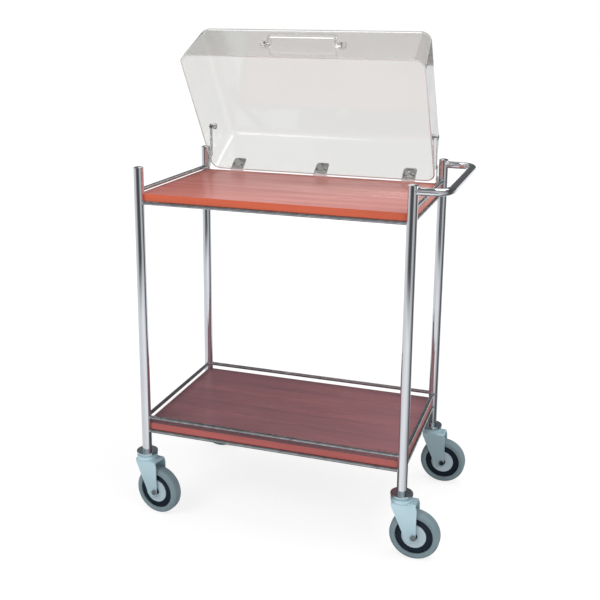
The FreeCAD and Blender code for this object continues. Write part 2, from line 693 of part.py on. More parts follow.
def build_stays():
    lower_lean, upper_lean, elbow_forward, elbow_rise = stay_pose()
    thickness = "stay_link_thickness"
    stud_slot = "stay_stud_radius + stay_slot_clearance"
    rail_z = "top_board_height + side_rail_rise"
    for side, sign in SIDES.items():
        lower_x = handed(LOWER_X, thickness, sign)
        upper_x = handed(UPPER_X, thickness, sign)

        # foot bracket: an upright ear with the foot rivet, and a flange brazed against the side rail
        ear_x = handed(BRACKET_X, thickness, sign)
        low = f"{rail_z} - {thickness} / 2"
        ear = box(f"bracket_{side}_ear", (thickness, "2 * stay_link_radius", f"{FOOT_Z} - ({low})"),
                  (ear_x, f"{FOOT_Y} - stay_link_radius", low))
        crown = cylinder(f"bracket_{side}_crown", "stay_link_radius", thickness, ear_x, FOOT_Y, FOOT_Z, "x")
        flange_width = f"post_spacing_x / 2 - ({BRACKET_X})"
        flange = box(f"bracket_{side}_flange", (flange_width, "bracket_length", thickness),
                     (handed(BRACKET_X, flange_width, sign), f"{FOOT_Y} - bracket_setback - bracket_length", low))
        rivet_span = f"2 * {thickness} + stay_link_gap"
        rivet = cylinder(f"bracket_{side}_rivet", "stay_rivet_radius", rivet_span,
                         handed(LOWER_X, rivet_span, sign), FOOT_Y, FOOT_Z, "x")
        bracket = joined(f"bracket_{side}_solid", [ear, crown, flange, rivet])
        rail = cylinder(f"bracket_{side}_rail", "rod_radius", "post_spacing_y",
                        f"{sign} * post_spacing_x / 2", "-post_spacing_y / 2", rail_z, "y")
        subpart(without(f"bracket_{side}", bracket, rail), f"stay_bracket_{side}")

        # lower link: turns on the foot rivet, and carries the elbow rivet at its upper end
        plate = link_plate(f"lower_{side}", "stay_lower_length", lower_x)
        bores = group(f"lower_{side}_bores", [
            cylinder(f"lower_{side}_bore_{i}", "stay_rivet_radius + pin_clearance", thickness,
                     lower_x, "0", z, "x")
            for i, z in enumerate(("0", "stay_lower_length"))
        ])
        link = without(f"lower_{side}_link", plate, bores)
        subpart(place(link, "0", FOOT_Y, FOOT_Z, X_AXIS, lower_lean), f"stay_lower_link_{side}")

        # upper link: carries the elbow rivet, and has a slot of a few millimetres for the hood's stud
        plate = link_plate(f"upper_{side}", "stay_upper_length", upper_x)
        rivet = cylinder(f"elbow_rivet_{side}", "stay_rivet_radius", rivet_span,
                         handed(UPPER_X, rivet_span, sign), along="x")
        slot_low = "stay_upper_length - stay_slot_play"
        slot = joined(f"upper_{side}_slot", [
            box(f"upper_{side}_slot_middle", (thickness, f"2 * ({stud_slot})", "stay_slot_play"),
                (upper_x, f"-({stud_slot})", slot_low)),
            cylinder(f"upper_{side}_slot_low", stud_slot, thickness, upper_x, "0", slot_low, "x"),
            cylinder(f"upper_{side}_slot_high", stud_slot, thickness, upper_x, "0", "stay_upper_length", "x"),
        ])
        link = joined(f"upper_{side}_link", [without(f"upper_{side}_slotted", plate, slot), rivet])
        place(link, "0", f"{HINGE_Y} - ({elbow_forward})", f"{HINGE_Z} + {elbow_rise}", X_AXIS, upper_lean)
        subpart(link, f"stay_upper_link_{side}")

        # stud through the hood's side wall: a washer outside the link and a thumb knob inside the hood
        stud_end = f"{UPPER_X} + {thickness} + stay_link_gap"
        wall_in = "(stay_stud_rise + stay_knob_radius) * tan(hood_draft) + hood_wall"
        knob_out = f"{HOOD_WIDTH} / 2 - ({wall_in}) - stay_link_gap"
        shank = f"{stud_end} - ({knob_out})"
        stud = [
            cylinder(f"stud_{side}_shank", "stay_stud_radius", shank, handed(knob_out, shank, sign),
                     "-stay_stud_forward", "stay_stud_rise", "x"),
            cylinder(f"stud_{side}_knob", "stay_knob_radius", "stay_knob_length",
                     handed(f"{knob_out} - stay_knob_length", "stay_knob_length", sign),
                     "-stay_stud_forward", "stay_stud_rise", "x"),
            cylinder(f"stud_{side}_washer", "stay_link_radius", thickness, handed(stud_end, thickness, sign),
                     "-stay_stud_forward", "stay_stud_rise", "x"),
        ]
        subpart(on_hood(group(f"stud_{side}_open", [joined(f"stud_{side}", stud)])), f"stay_stud_{side}")


# ---------------------------------------------------------------- casters
# Modelled on the swivel axis with the floor at Z = 0, trailing along +X.
PLATE_LOW = "caster_top - plate_thickness"
RACE_TOP = f"{PLATE_LOW} - swivel_gap"
CROWN_LOW = "caster_top - fork_crown_drop"
CROWN_TOP = f"{CROWN_LOW} + crown_thickness"
NUT_TOP = f"{CROWN_LOW} - king_nut_gap"
HALF_FORK = "fork_gap / 2 + fork_wall"


def build_caster_stem(corner):
    """Turned piece fixed in the post's foot: expander plug, bearing plate, king pin and its nut."""
    body = new_body(f"{corner}_stem")
    nut_low = f"{NUT_TOP} - king_nut_height"
    plug_top = "caster_top + plug_length"
    profile = [
        ("0", nut_low), ("king_nut_radius", nut_low), ("king_nut_radius", NUT_TOP),
        ("king_pin_radius", NUT_TOP), ("king_pin_radius", PLATE_LOW), ("plate_radius", PLATE_LOW),
        ("plate_radius", "caster_top"), ("post_radius - post_wall", "caster_top"),
        ("post_radius - post_wall", plug_top), ("0", plug_top),
    ]
    revolved(body, outline(sketch_on(body, "XZ_Plane"), profile), "V_Axis")
    subpart(on_caster(group(f"{corner}_stem_placed", [body]), corner), f"caster_stem_{corner}")


def build_caster_fork(corner):
    """Pressed fork: two tapering legs bent down from a crown, with the ball race's cup on top."""
    body = new_body(f"{corner}_fork")
    axle_x, axle_z, foot = "caster_trail", "wheel_radius", "fork_foot_radius"
    foot_x = f"({axle_x} - fork_foot_lead)"
    side = outline(sketch_on(body, "XZ_Plane"), [
        ("-fork_toe", CROWN_TOP),
        ("-fork_toe", f"{CROWN_LOW} - crown_thickness"),
        (f"{foot_x} - {foot}", axle_z),
        (f"{foot_x} + {foot}", axle_z),
        (f"{foot_x} + {foot}", f"{CROWN_LOW} - 2 * crown_thickness"),
        ("fork_heel", CROWN_TOP),
    ])
    blank = pad(body, side, f"2 * ({HALF_FORK})", True)
    top = value(CROWN_TOP)
    blank = rounded(
        body, blank, "fork_bend",
        lambda edge: edge.BoundBox.ZMin > top - 1e-3 and edge.BoundBox.YLength < 1e-3,
    )
    pad(body, circle(sketch_on(body, "XZ_Plane"), foot_x, axle_z, foot), f"2 * ({HALF_FORK})", True)
    half_gap = "fork_gap / 2"
    between = outline(sketch_on(body, "YZ_Plane"), [
        (f"-{half_gap}", "0"), (half_gap, "0"), (half_gap, CROWN_LOW), (f"-{half_gap}", CROWN_LOW),
    ])
    pocket(body, between)
    race = outline(sketch_on(body, "XZ_Plane"), [
        ("0", CROWN_TOP), ("race_radius", CROWN_TOP), ("race_radius", f"{CROWN_TOP} + race_height"),
        ("race_lip_radius", f"{CROWN_TOP} + race_height"), ("race_lip_radius", RACE_TOP), ("0", RACE_TOP),
    ])
    revolved(body, race, "V_Axis")
    pocket(body, circle(sketch_on(body, "XY_Plane"), "0", "0", "king_pin_radius + pin_clearance"))
    pocket(body, circle(sketch_on(body, "XZ_Plane"), axle_x, axle_z, "axle_radius"))
    subpart(on_caster(group(f"{corner}_fork_placed", [body]), corner), f"caster_fork_{corner}")


def build_caster_axle(corner):
    """A bolt through the fork and hub, with its hexagon head in front and its nut behind."""
    half = HALF_FORK
    shank = cylinder(f"{corner}_axle_shank", "axle_radius", f"2 * ({half})",
                     "caster_trail", f"-({half})", "wheel_radius", "y")
    ends = [
        hexagon(f"{corner}_axle_{end}", "axle_head_radius", "axle_head_height", "caster_trail", y, "wheel_radius")
        for end, y in (("head", f"-({half}) - axle_head_height"), ("nut", half))
    ]
    axle = joined(f"{corner}_axle", [shank] + ends)
    subpart(on_caster(group(f"{corner}_axle_placed", [axle]), corner), f"caster_axle_{corner}")


def turned_wheel_piece(corner, label, profile, mirror=False):
    """A ring about the axle, from corners given as (along the axle, radius)."""
    pieces = []
    for sign in ("1", "-1") if mirror else ("1",):
        body = new_body(f"{corner}_{label}")
        points = [(f"{sign} * ({along})", radius) for along, radius in profile]
        revolved(body, outline(sketch_on(body, "YZ_Plane"), points), "H_Axis")
        pieces.append(body)
    wheel = place(group(f"{corner}_{label}_wheel", pieces), "caster_trail", "0", "wheel_radius")
    subpart(on_caster(group(f"{corner}_{label}_placed", [wheel]), corner), f"caster_{label}_{corner}")


def build_wheel(corner):
    half_tyre, half_rim = "tyre_width / 2", "rim_width / 2"
    hub_end = "fork_gap / 2 - hub_gap"
    bore = "axle_radius + pin_clearance"
    tread = "wheel_radius - tyre_shoulder"
    turned_wheel_piece(corner, "tyre", [
        (f"-{half_tyre}", "rim_radius"), (f"-{half_tyre}", tread),
        (f"-{half_tyre} + tyre_shoulder", "wheel_radius"), (f"{half_tyre} - tyre_shoulder", "wheel_radius"),
        (half_tyre, tread), (half_tyre, "rim_radius"),
    ])
    turned_wheel_piece(corner, "rim", [
        (f"-{half_rim}", "rim_radius"), (half_rim, "rim_radius"), (half_rim, "hub_radius"),
        (hub_end, "hub_radius"), (hub_end, bore), (f"-({hub_end})", bore),
        (f"-({hub_end})", "hub_radius"), (f"-{half_rim}", "hub_radius"),
    ])
    turned_wheel_piece(corner, "thread_guards", [
        (half_rim, "hub_radius"), (half_rim, "guard_radius"),
        (f"{half_rim} + guard_thickness", "guard_radius"), (f"{half_rim} + guard_thickness", "hub_radius"),
    ], mirror=True)


# ---------------------------------------------------------------- the whole trolley
build_posts()
build_post_caps()
build_boards()
rods_between_posts("top_support_rods", "top_board_height - board_thickness - rod_radius", True, True)
rods_between_posts("lower_support_rods", "lower_board_height - board_thickness - rod_radius", True, True)
rods_between_posts("top_side_rails", "top_board_height + side_rail_rise", False, True)
rods_between_posts("lower_guard_rails", "lower_board_height + guard_rail_rise", True, True)
build_push_handle()
build_hinges()
build_hinge_screws()
build_hood_cover()
build_lift_handle()
build_stays()
for corner_name in CORNERS:
    build_caster_stem(corner_name)
    build_caster_fork(corner_name)
    build_caster_axle(corner_name)
    build_wheel(corner_name)
doc.recompute()

# ---------------------------------------------------------------- checks and export
failed = [item.Label for item in doc.Objects if {"Invalid", "Error"} & set(item.State)]
if failed:
    raise RuntimeError(f"objects that failed to build: {failed}")
for item in subparts:
    if item.Shape.isNull() or not item.Shape.isValid() or not item.Shape.Solids:
        raise RuntimeError(f"{item.Label} has no valid solid")

os.makedirs("parts", exist_ok=True)
for item in subparts:
    item.Shape.exportStep(f"parts/{item.Label}.step")
print(len(subparts), "sub-parts written")
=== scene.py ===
# %% [markdown]
# # A carving trolley
#
# The trolley comes from CAD as a frame that never moves: four chromed posts, two red boards, a clear
# hood on hinges and folding stays, and four swivel casters. This lesson dresses that frame. Each
# piece is either a joined and rounded copy of its CAD solid or a new shape made with the same
# operators that the menus call.

# %% Load the frame
import math

import bpy
from mathutils import Matrix, Vector


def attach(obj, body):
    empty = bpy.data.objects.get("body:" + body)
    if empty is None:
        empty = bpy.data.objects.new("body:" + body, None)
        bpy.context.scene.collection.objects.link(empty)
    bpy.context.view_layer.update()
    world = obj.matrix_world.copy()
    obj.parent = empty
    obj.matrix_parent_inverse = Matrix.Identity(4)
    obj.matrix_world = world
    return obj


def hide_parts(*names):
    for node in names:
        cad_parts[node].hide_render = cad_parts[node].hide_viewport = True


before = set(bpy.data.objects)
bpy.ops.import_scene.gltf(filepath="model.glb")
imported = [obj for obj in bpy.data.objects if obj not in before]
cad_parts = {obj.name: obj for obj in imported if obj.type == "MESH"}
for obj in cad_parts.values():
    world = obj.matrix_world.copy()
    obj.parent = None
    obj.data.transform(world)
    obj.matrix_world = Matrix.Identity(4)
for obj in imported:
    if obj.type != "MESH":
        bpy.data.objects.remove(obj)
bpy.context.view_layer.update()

MM = 0.001
print("CAD nodes:", len(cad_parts))

# %% [markdown]
# ## Named sizes
#
# A few lengths of the real trolley are needed again and again, to put screws, welds and wheels where
# the CAD model has them. They are written once here, in metres. A caster's place becomes a matrix,
# so that a piece modelled on one swivel axis can be copied to all four corners.

# %% Sizes and places
POST_X, POST_Y, POST_RADIUS, POST_TOP = 345 * MM, 205 * MM, 12.5 * MM, 926 * MM
TOP_BOARD, LOWER_BOARD, BOARD_THICKNESS = 862 * MM, 247 * MM, 18 * MM
ROD_RADIUS = 5 * MM
FRONT_LEFT_TRAIL = math.radians(-9.5)
CORNERS = {
    "front_left": (-POST_X, -POST_Y, FRONT_LEFT_TRAIL),
    "front_right": (POST_X, -POST_Y, 0.0),
    "back_left": (-POST_X, POST_Y, 0.0),
    "back_right": (POST_X, POST_Y, 0.0),
}
SIDES = {"left": -1, "right": 1}


def at_caster(corner):
    """The place of one caster: its swivel axis, turned as far as it trails."""
    x, y, turn = CORNERS[corner]
    return Matrix.Translation((x, y, 0)) @ Matrix.Rotation(turn, 4, "Z")


print("corners:", ", ".join(CORNERS))

# %% [markdown]
# ## The camera
#
# The photograph looks at the trolley from the front and a little from the right, from above the top
# board. The lens is a short telephoto, and a small downward shift keeps the posts nearly upright.

# %% Camera
YAW, PITCH, ROLL = math.radians(18.1), math.radians(13.29), math.radians(0.51)
SENSOR, LENS, SHIFT = 36, 55.02, -0.11
EYE = (0.7353, -2.2166, 1.2924)
camera_data = bpy.data.cameras.new("camera")
camera_data.sensor_width = SENSOR
camera_data.lens = LENS
camera_data.shift_y = SHIFT
camera = bpy.data.objects.new("camera", camera_data)
bpy.context.scene.collection.objects.link(camera)
camera.matrix_world = (
    Matrix.Translation(EYE)
    @ Matrix.Rotation(YAW, 4, "Z")
    @ Matrix.Rotation(math.pi / 2 - PITCH, 4, "X")
    @ Matrix.Rotation(ROLL, 4, "Z")
)
bpy.context.scene.camera = camera
print("camera lens", round(camera_data.lens, 2), "mm")

# %% [markdown]
# ## Node helpers
#
# A material is a small graph, and a few helpers keep the graphs short. They add a node with its
# numbers and links, mix two colours, make a material with its Principled shader, make a group with
# named sockets, and place such a group in a material.


# %% Node helpers
def add_node(tree, kind, links=(), **values):
    """A new node: values set its properties or inputs, links join (input name, other output)."""
    node = tree.nodes.new(kind)
    for name, value in values.items():
        if hasattr(node, name):
            setattr(node, name, value)
        else:
            node.inputs[name.replace("_", " ")].default_value = value
    for name, output in links:
        tree.links.new(output, node.inputs[name])
    return node


def new_material(name, **values):
    """A material and its Principled shader, with plain numbers set on the shader's sockets."""
    material = bpy.data.materials.new(name)
    material.use_nodes = True
    shader = material.node_tree.nodes["Principled BSDF"]
    for socket, value in values.items():
        shader.inputs[socket.replace("_", " ")].default_value = value
    return material, shader


def new_group(name, inputs, outputs):
    """A shader node group with named sockets, and its input and output nodes."""
    group = bpy.data.node_groups.new(name, "ShaderNodeTree")
    for socket, kind, value in inputs:
        item = group.interface.new_socket(socket, in_out="INPUT", socket_type=kind)
        item.default_value = value
    for socket, kind in outputs:
        group.interface.new_socket(socket, in_out="OUTPUT", socket_type=kind)
    return group, group.nodes.new("NodeGroupInput"), group.nodes.new("NodeGroupOutput")


def use_group(material, group, **values):
    """Place a group in a material with its own values."""
    return add_node(material.node_tree, "ShaderNodeGroup", node_tree=group, **values)


def add_colour_mix(tree, factor, first, second):
    """A mix of two colour outputs, whose own sockets come after the node's number and vector ones."""
    mix = add_node(tree, "ShaderNodeMix", [("Factor", factor)], data_type="RGBA")
    tree.links.new(first, mix.inputs[FIRST_COLOUR])
    tree.links.new(second, mix.inputs[SECOND_COLOUR])
    return mix.outputs[MIXED_COLOUR]


FIRST_COLOUR, SECOND_COLOUR, MIXED_COLOUR = 6, 7, 2
COLOUR, NUMBER, VECTOR = "NodeSocketColor", "NodeSocketFloat", "NodeSocketVector"

# %% [markdown]
# ## Handling marks
#
# Plated steel, rubber and moulded plastic are never one even colour. A soft noise breaks up the
# colour and the gloss, and a fine noise gives the surface its tooth. One group does this for every
# finish, and each material gives it its own colours and strengths.

# %% Group: handling marks
marks, marks_in, marks_out = new_group(
    "handling marks",
    [
        ("Colour", COLOUR, (0.5, 0.5, 0.5, 1)), ("Mark Colour", COLOUR, (0.4, 0.4, 0.4, 1)),
        ("Mark Scale", NUMBER, 12.0), ("Marks", NUMBER, 0.3), ("Smooth", NUMBER, 0.2),
        ("Rough", NUMBER, 0.4), ("Grain Scale", NUMBER, 900.0), ("Grain", NUMBER, 0.1),
    ],
    [("Colour", COLOUR), ("Roughness", NUMBER), ("Normal", VECTOR)],
)
place = add_node(marks, "ShaderNodeTexCoord").outputs["Object"]
patches = add_node(marks, "ShaderNodeTexNoise", [
    ("Vector", place), ("Scale", marks_in.outputs["Mark Scale"]),
], Detail=4.0, Roughness=0.6)
spread = add_node(marks, "ShaderNodeMapRange", [("Value", patches.outputs["Fac"])],
                  From_Min=0.35, From_Max=0.7)
amount = add_node(marks, "ShaderNodeMath", operation="MULTIPLY")
marks.links.new(spread.outputs["Result"], amount.inputs[0])
marks.links.new(marks_in.outputs["Marks"], amount.inputs[1])
blend = add_colour_mix(marks, amount.outputs[0], marks_in.outputs["Colour"],
                       marks_in.outputs["Mark Colour"])
gloss = add_node(marks, "ShaderNodeMapRange", [
    ("Value", spread.outputs["Result"]),
    ("To Min", marks_in.outputs["Smooth"]), ("To Max", marks_in.outputs["Rough"]),
])
grain = add_node(marks, "ShaderNodeTexNoise", [
    ("Vector", place), ("Scale", marks_in.outputs["Grain Scale"]),
], Detail=2.0)
bump = add_node(marks, "ShaderNodeBump", [
    ("Height", grain.outputs["Fac"]), ("Strength", marks_in.outputs["Grain"]),
], Distance=0.0004)
for socket, output in (("Colour", blend), ("Roughness", gloss.outputs["Result"]),
                       ("Normal", bump.outputs["Normal"])):
    marks.links.new(output, marks_out.inputs[socket])
print("handling marks nodes:", len(marks.nodes))


def marked_material(name, colour, mark_colour, shader_values=None, **values):
    """A material whose colour, gloss and tooth come from the handling marks group."""
    material, shader = new_material(name, **(shader_values or {}))
    node = use_group(material, marks, Colour=(*colour, 1), Mark_Colour=(*mark_colour, 1), **values)
    for socket, output in (("Base Color", "Colour"), ("Roughness", "Roughness"), ("Normal", "Normal")):
        material.node_tree.links.new(node.outputs[output], shader.inputs[socket])
    return material


# %% [markdown]
# ## Metals, rubber and plastics
#
# The posts and the push handle are polished chrome: almost a mirror. The thin rods and rails get a
# duller copy of that chrome with a darker colour and dark patches: painted shade and painted dark
# reflections for rods and rails that lie under and beside the boards. The casters are zinc plated,
# paler and softer, and their turned swivel heads keep a brighter shine. Stays are nickel plated, and
# the hinge leaves have a paler satin finish. The tyres are grey rubber round a near-black wheel
# centre, and the thread guards are pale plastic.

# %% Materials from the marks group
chrome = marked_material(
    "polished chrome", (0.82, 0.83, 0.85), (0.72, 0.73, 0.76), {"Metallic": 1.0},
    Mark_Scale=9.0, Marks=0.35, Smooth=0.05, Rough=0.13, Grain_Scale=600.0, Grain=0.015,
)
# Painted shade: a darker copy of the posts' chrome with dark patches, standing in for the shade and dark
# reflections on the rods and rails.
rail_chrome_painted_shade = marked_material(
    "welded rail chrome", (0.54, 0.55, 0.565), (0.27, 0.275, 0.285), {"Metallic": 1.0},
    Mark_Scale=70.0, Marks=0.8, Smooth=0.14, Rough=0.3, Grain_Scale=900.0, Grain=0.04,
)
zinc = marked_material(
    "zinc plate", (0.56, 0.75, 0.82), (0.46, 0.63, 0.70), {"Metallic": 0.5},
    Mark_Scale=24.0, Marks=0.35, Smooth=0.3, Rough=0.4, Grain_Scale=1400.0, Grain=0.004,
)
bright_zinc = marked_material(
    "bright zinc plate", (0.60, 0.73, 0.77), (0.44, 0.56, 0.61), {"Metallic": 1.0},
    Mark_Scale=30.0, Marks=0.3, Smooth=0.12, Rough=0.2, Grain_Scale=1400.0, Grain=0.015,
)
nickel = marked_material(
    "nickel plate", (0.66, 0.66, 0.65), (0.46, 0.46, 0.455), {"Metallic": 0.65},
    Mark_Scale=60.0, Marks=0.5, Smooth=0.16, Rough=0.32, Grain_Scale=1600.0, Grain=0.05,
)
satin_nickel = marked_material(
    "satin hinge plate", (0.86, 0.86, 0.85), (0.62, 0.62, 0.61), {"Metallic": 0.3},
    Mark_Scale=60.0, Marks=0.4, Smooth=0.3, Rough=0.42, Grain_Scale=1600.0, Grain=0.02,
)
screw_steel = marked_material(
    "screw steel", (0.42, 0.43, 0.44), (0.20, 0.21, 0.22), {"Metallic": 1.0},
    Mark_Scale=150.0, Marks=0.5, Smooth=0.2, Rough=0.38, Grain_Scale=2400.0, Grain=0.06,
)
rubber = marked_material(
    "grey rubber", (0.165, 0.235, 0.262), (0.22, 0.285, 0.31), {"Specular_IOR_Level": 0.4},
    Mark_Scale=26.0, Marks=0.6, Smooth=0.52, Rough=0.72, Grain_Scale=1500.0, Grain=0.25,
)
wheel_plastic = marked_material(
    "dark wheel plastic", (0.006, 0.014, 0.026), (0.016, 0.024, 0.036), {"Specular_IOR_Level": 0.22},
    Mark_Scale=45.0, Marks=0.5, Smooth=0.4, Rough=0.55, Grain_Scale=1800.0, Grain=0.12,
)
guard_plastic = marked_material(
    "pale guard plastic", (0.42, 0.52, 0.58), (0.34, 0.44, 0.50), {"Specular_IOR_Level": 0.45},
    Mark_Scale=40.0, Marks=0.4, Smooth=0.36, Rough=0.5, Grain_Scale=1500.0, Grain=0.1,
)
print("metals, rubber and plastics are ready")

# %% [markdown]
# ## Red wood laminate
#
# The boards are faced with a red wood print under a hard gloss coat. The grain runs along the
# trolley, so a noise is stretched in X until it becomes streaks, and a second, finer one adds the
# pores. One group makes the colour, the gloss and the height of the pores, and both boards use it.
# The lower board's red is a darker, cooler copy of the top board's: painted shade, for the shade it
# lies in under the top board.

# %% Group: straight grain
wood, wood_in, wood_out = new_group(
    "straight grain",
    [("Pale", COLOUR, (0.6, 0.2, 0.1, 1)), ("Deep", COLOUR, (0.3, 0.08, 0.05, 1)),
     ("Pore", COLOUR, (0.1, 0.03, 0.02, 1)), ("Pores", NUMBER, 0.4), ("Smooth", NUMBER, 0.2),
     ("Rough", NUMBER, 0.3)],
    [("Colour", COLOUR), ("Roughness", NUMBER), ("Height", NUMBER)],
)
place = add_node(wood, "ShaderNodeTexCoord").outputs["Object"]
stretched = add_node(wood, "ShaderNodeMapping", [("Vector", place)], Scale=(1.1, 26.0, 26.0))
figure = add_node(wood, "ShaderNodeTexNoise", [("Vector", stretched.outputs[0])],
                  Scale=1.0, Detail=5.0, Roughness=0.62, Distortion=0.5)
wide = add_node(wood, "ShaderNodeMapping", [("Vector", place)], Scale=(1.8, 6.5, 6.5))
clouds = add_node(wood, "ShaderNodeTexNoise", [("Vector", wide.outputs[0])], Scale=1.0, Detail=2.0)
both = add_node(wood, "ShaderNodeMix", [("A", figure.outputs["Fac"]), ("B", clouds.outputs["Fac"])],
                Factor=0.45)
streaks = add_node(wood, "ShaderNodeMapRange", [("Value", both.outputs[0])], From_Min=0.36, From_Max=0.62)
tone = add_colour_mix(wood, streaks.outputs["Result"], wood_in.outputs["Pale"], wood_in.outputs["Deep"])
fine = add_node(wood, "ShaderNodeMapping", [("Vector", place)], Scale=(9.0, 420.0, 420.0))
pore_noise = add_node(wood, "ShaderNodeTexNoise", [("Vector", fine.outputs[0])], Scale=1.0, Detail=3.0)
pore_mask = add_node(wood, "ShaderNodeMapRange", [("Value", pore_noise.outputs["Fac"])],
                     From_Min=0.56, From_Max=0.72)
pore_amount = add_node(wood, "ShaderNodeMath", operation="MULTIPLY")
wood.links.new(pore_mask.outputs["Result"], pore_amount.inputs[0])
wood.links.new(wood_in.outputs["Pores"], pore_amount.inputs[1])
pored = add_colour_mix(wood, pore_amount.outputs[0], tone, wood_in.outputs["Pore"])
sheen = add_node(wood, "ShaderNodeMapRange", [
    ("Value", streaks.outputs["Result"]),
    ("To Min", wood_in.outputs["Smooth"]), ("To Max", wood_in.outputs["Rough"]),
])
for socket, output in (("Colour", pored), ("Roughness", sheen.outputs["Result"]),
                       ("Height", pore_mask.outputs["Result"])):
    wood.links.new(output, wood_out.inputs[socket])
print("straight grain nodes:", len(wood.nodes))


# %% Laminate materials
def darker(colour, share):
    """A share of a colour, with full cover."""
    return (*(part * share for part in colour), 1)


def laminate(name, pale, deep, edge, pores):
    """Grained laminate on the flat faces, with a plainer edge band of its own red."""
    material, shader = new_material(name, Specular_IOR_Level=0.25, Coat_Weight=0.14, Coat_Roughness=0.14)
    tree = material.node_tree
    face = use_group(material, wood, Pale=(*pale, 1), Deep=(*deep, 1), Pore=darker(deep, 0.35),
                     Pores=pores, Smooth=0.24, Rough=0.36)
    band = use_group(material, wood, Pale=(*edge, 1), Deep=darker(edge, 0.8), Pore=darker(edge, 0.5),
                     Pores=pores * 0.5, Smooth=0.3, Rough=0.4)
    facing = add_node(tree, "ShaderNodeSeparateXYZ",
                      [("Vector", add_node(tree, "ShaderNodeNewGeometry").outputs["Normal"])])
    level = add_node(tree, "ShaderNodeMath", [(0, facing.outputs["Z"])], operation="ABSOLUTE")
    is_face = add_node(tree, "ShaderNodeMapRange", [("Value", level.outputs[0])],
                       From_Min=0.6, From_Max=0.8).outputs["Result"]
    colour = add_colour_mix(tree, is_face, band.outputs["Colour"], face.outputs["Colour"])
    tree.links.new(colour, shader.inputs["Base Color"])
    roughness = add_node(tree, "ShaderNodeMix", [
        ("Factor", is_face), ("A", band.outputs["Roughness"]), ("B", face.outputs["Roughness"]),
    ])
    tree.links.new(roughness.outputs[0], shader.inputs["Roughness"])
    bump = add_node(tree, "ShaderNodeBump", [("Height", face.outputs["Height"])],
                    Strength=0.05, Distance=0.0003, invert=True)
    tree.links.new(bump.outputs["Normal"], shader.inputs["Normal"])
    return material


top_laminate = laminate("top board laminate", pale=(0.66, 0.235, 0.195), deep=(0.46, 0.125, 0.105),
                        edge=(0.66, 0.135, 0.07), pores=0.3)
# Painted shade: the lower board gets a darker, cooler copy of the top board's red, for the shade it lies
# in under the top board.
lower_laminate_painted_shade = laminate("lower board laminate", pale=(0.325, 0.142, 0.152), deep=(0.205, 0.105, 0.122),
                          edge=(0.44, 0.11, 0.1), pores=0.5)
print("laminates:", top_laminate.name, "and", lower_laminate_painted_shade.name)

# %% [markdown]
# ## Clear acrylic
#
# The hood is a moulded clear sheet 4 mm thick. Real acrylic bends light as glass does, takes a faint
# grey from its thickness, and carries a haze of fine wiping scratches, which only a slight change of
# roughness shows. The lift handle is a thin bent strip of a lighter plastic, which bends light less.


# %% Clear materials
def clear_material(name, tint, smooth, rough, mark_scale, clear=1.0, bending=1.49):
    """Clear sheet: its tint, its gloss from smooth to rough, and how strongly it bends light."""
    material, shader = new_material(name, Transmission_Weight=clear, IOR=bending)
    node = use_group(material, marks, Colour=(*tint, 1), Mark_Colour=darker(tint, 0.97),
                     Mark_Scale=mark_scale, Marks=0.4, Smooth=smooth, Rough=rough,
                     Grain_Scale=300.0, Grain=0.0)
    for socket, output in (("Base Color", "Colour"), ("Roughness", "Roughness")):
        material.node_tree.links.new(node.outputs[output], shader.inputs[socket])
    return material


hood_acrylic = clear_material("hood acrylic", (0.735, 0.732, 0.72), 0.04, 0.11, 6.0)
handle_acrylic = clear_material("lift handle acrylic", (0.95, 0.95, 0.945), 0.05, 0.12, 40.0, bending=1.22)
rim_acrylic = clear_material("sawn acrylic edge", (0.86, 0.865, 0.86), 0.45, 0.6, 60.0, clear=0.25)
print("materials:", len(bpy.data.materials))

# %% [markdown]
# ## Working on one piece at a time
#
# An operator acts on everything that is selected, so each step first selects only its own piece. In
# edit mode the faces or edges to work on are picked in code, by where they are or which way they
# face.


# %% Selection helpers
def work_on(*pieces):
    """Select only these pieces and make the last one active."""
    bpy.ops.object.select_all(action="DESELECT")
    for piece in pieces:
        piece.select_set(True)
    bpy.context.view_layer.objects.active = pieces[-1]
    return pieces[-1]


def pick(piece, kind, test):
    """Enter edit mode with only the vertices, edges or faces selected that pass a test."""
    bpy.ops.object.mode_set(mode="EDIT")
    bpy.ops.mesh.select_mode(type=kind)
    bpy.ops.mesh.select_all(action="DESELECT")
    bpy.ops.object.mode_set(mode="OBJECT")
    mesh = piece.data
    elements = {"VERT": mesh.vertices, "EDGE": mesh.edges, "FACE": mesh.polygons}[kind]
    for element in elements:
        element.select = bool(test(element))
    bpy.ops.object.mode_set(mode="EDIT")


def finish_edit():
    """Leave edit mode, which puts its changes into the mesh."""
    bpy.ops.object.mode_set(mode="OBJECT")


def ends_of(piece, edge):
    """The two end points of an edge."""
    return [piece.data.vertices[i].co for i in edge.vertices]


def apply_modifier(piece, kind, **values):
    """Add a modifier, set it and apply it."""
    work_on(piece)
    modifier = piece.modifiers.new(kind.lower(), kind)
    for name, value in values.items():
        setattr(modifier, name, value)
    bpy.ops.object.modifier_apply(modifier=modifier.name)


def settle(piece):
    """Put a piece's place into its mesh, so that its object sits at the origin."""
    work_on(piece)
    bpy.ops.object.transform_apply(location=True, rotation=True, scale=True)
    return piece


def smooth(piece, angle=32.0):
    """Shade curves smooth, keep edges sharper than the angle, and keep large flat faces flat."""
    work_on(piece)
    bpy.ops.object.shade_smooth_by_angle(angle=math.radians(angle))
    apply_modifier(piece, "WEIGHTED_NORMAL", keep_sharp=True, weight=100)
    return piece


def join(pieces, name):
    """Make one piece of several."""
    piece = work_on(*pieces)
    if len(pieces) > 1:
        bpy.ops.object.join()
    piece.name = name
    piece.data.name = name
    return piece


def twin(piece, name, place):
    """A copy with its own mesh, carried to another place."""
    copy = bpy.data.objects.new(name, piece.data.copy())
    bpy.context.scene.collection.objects.link(copy)
    copy.matrix_world = place
    return settle(copy)


def drop(*pieces):
    """Take away pieces that only served to make others."""
    for piece in pieces:
        bpy.data.objects.remove(piece)


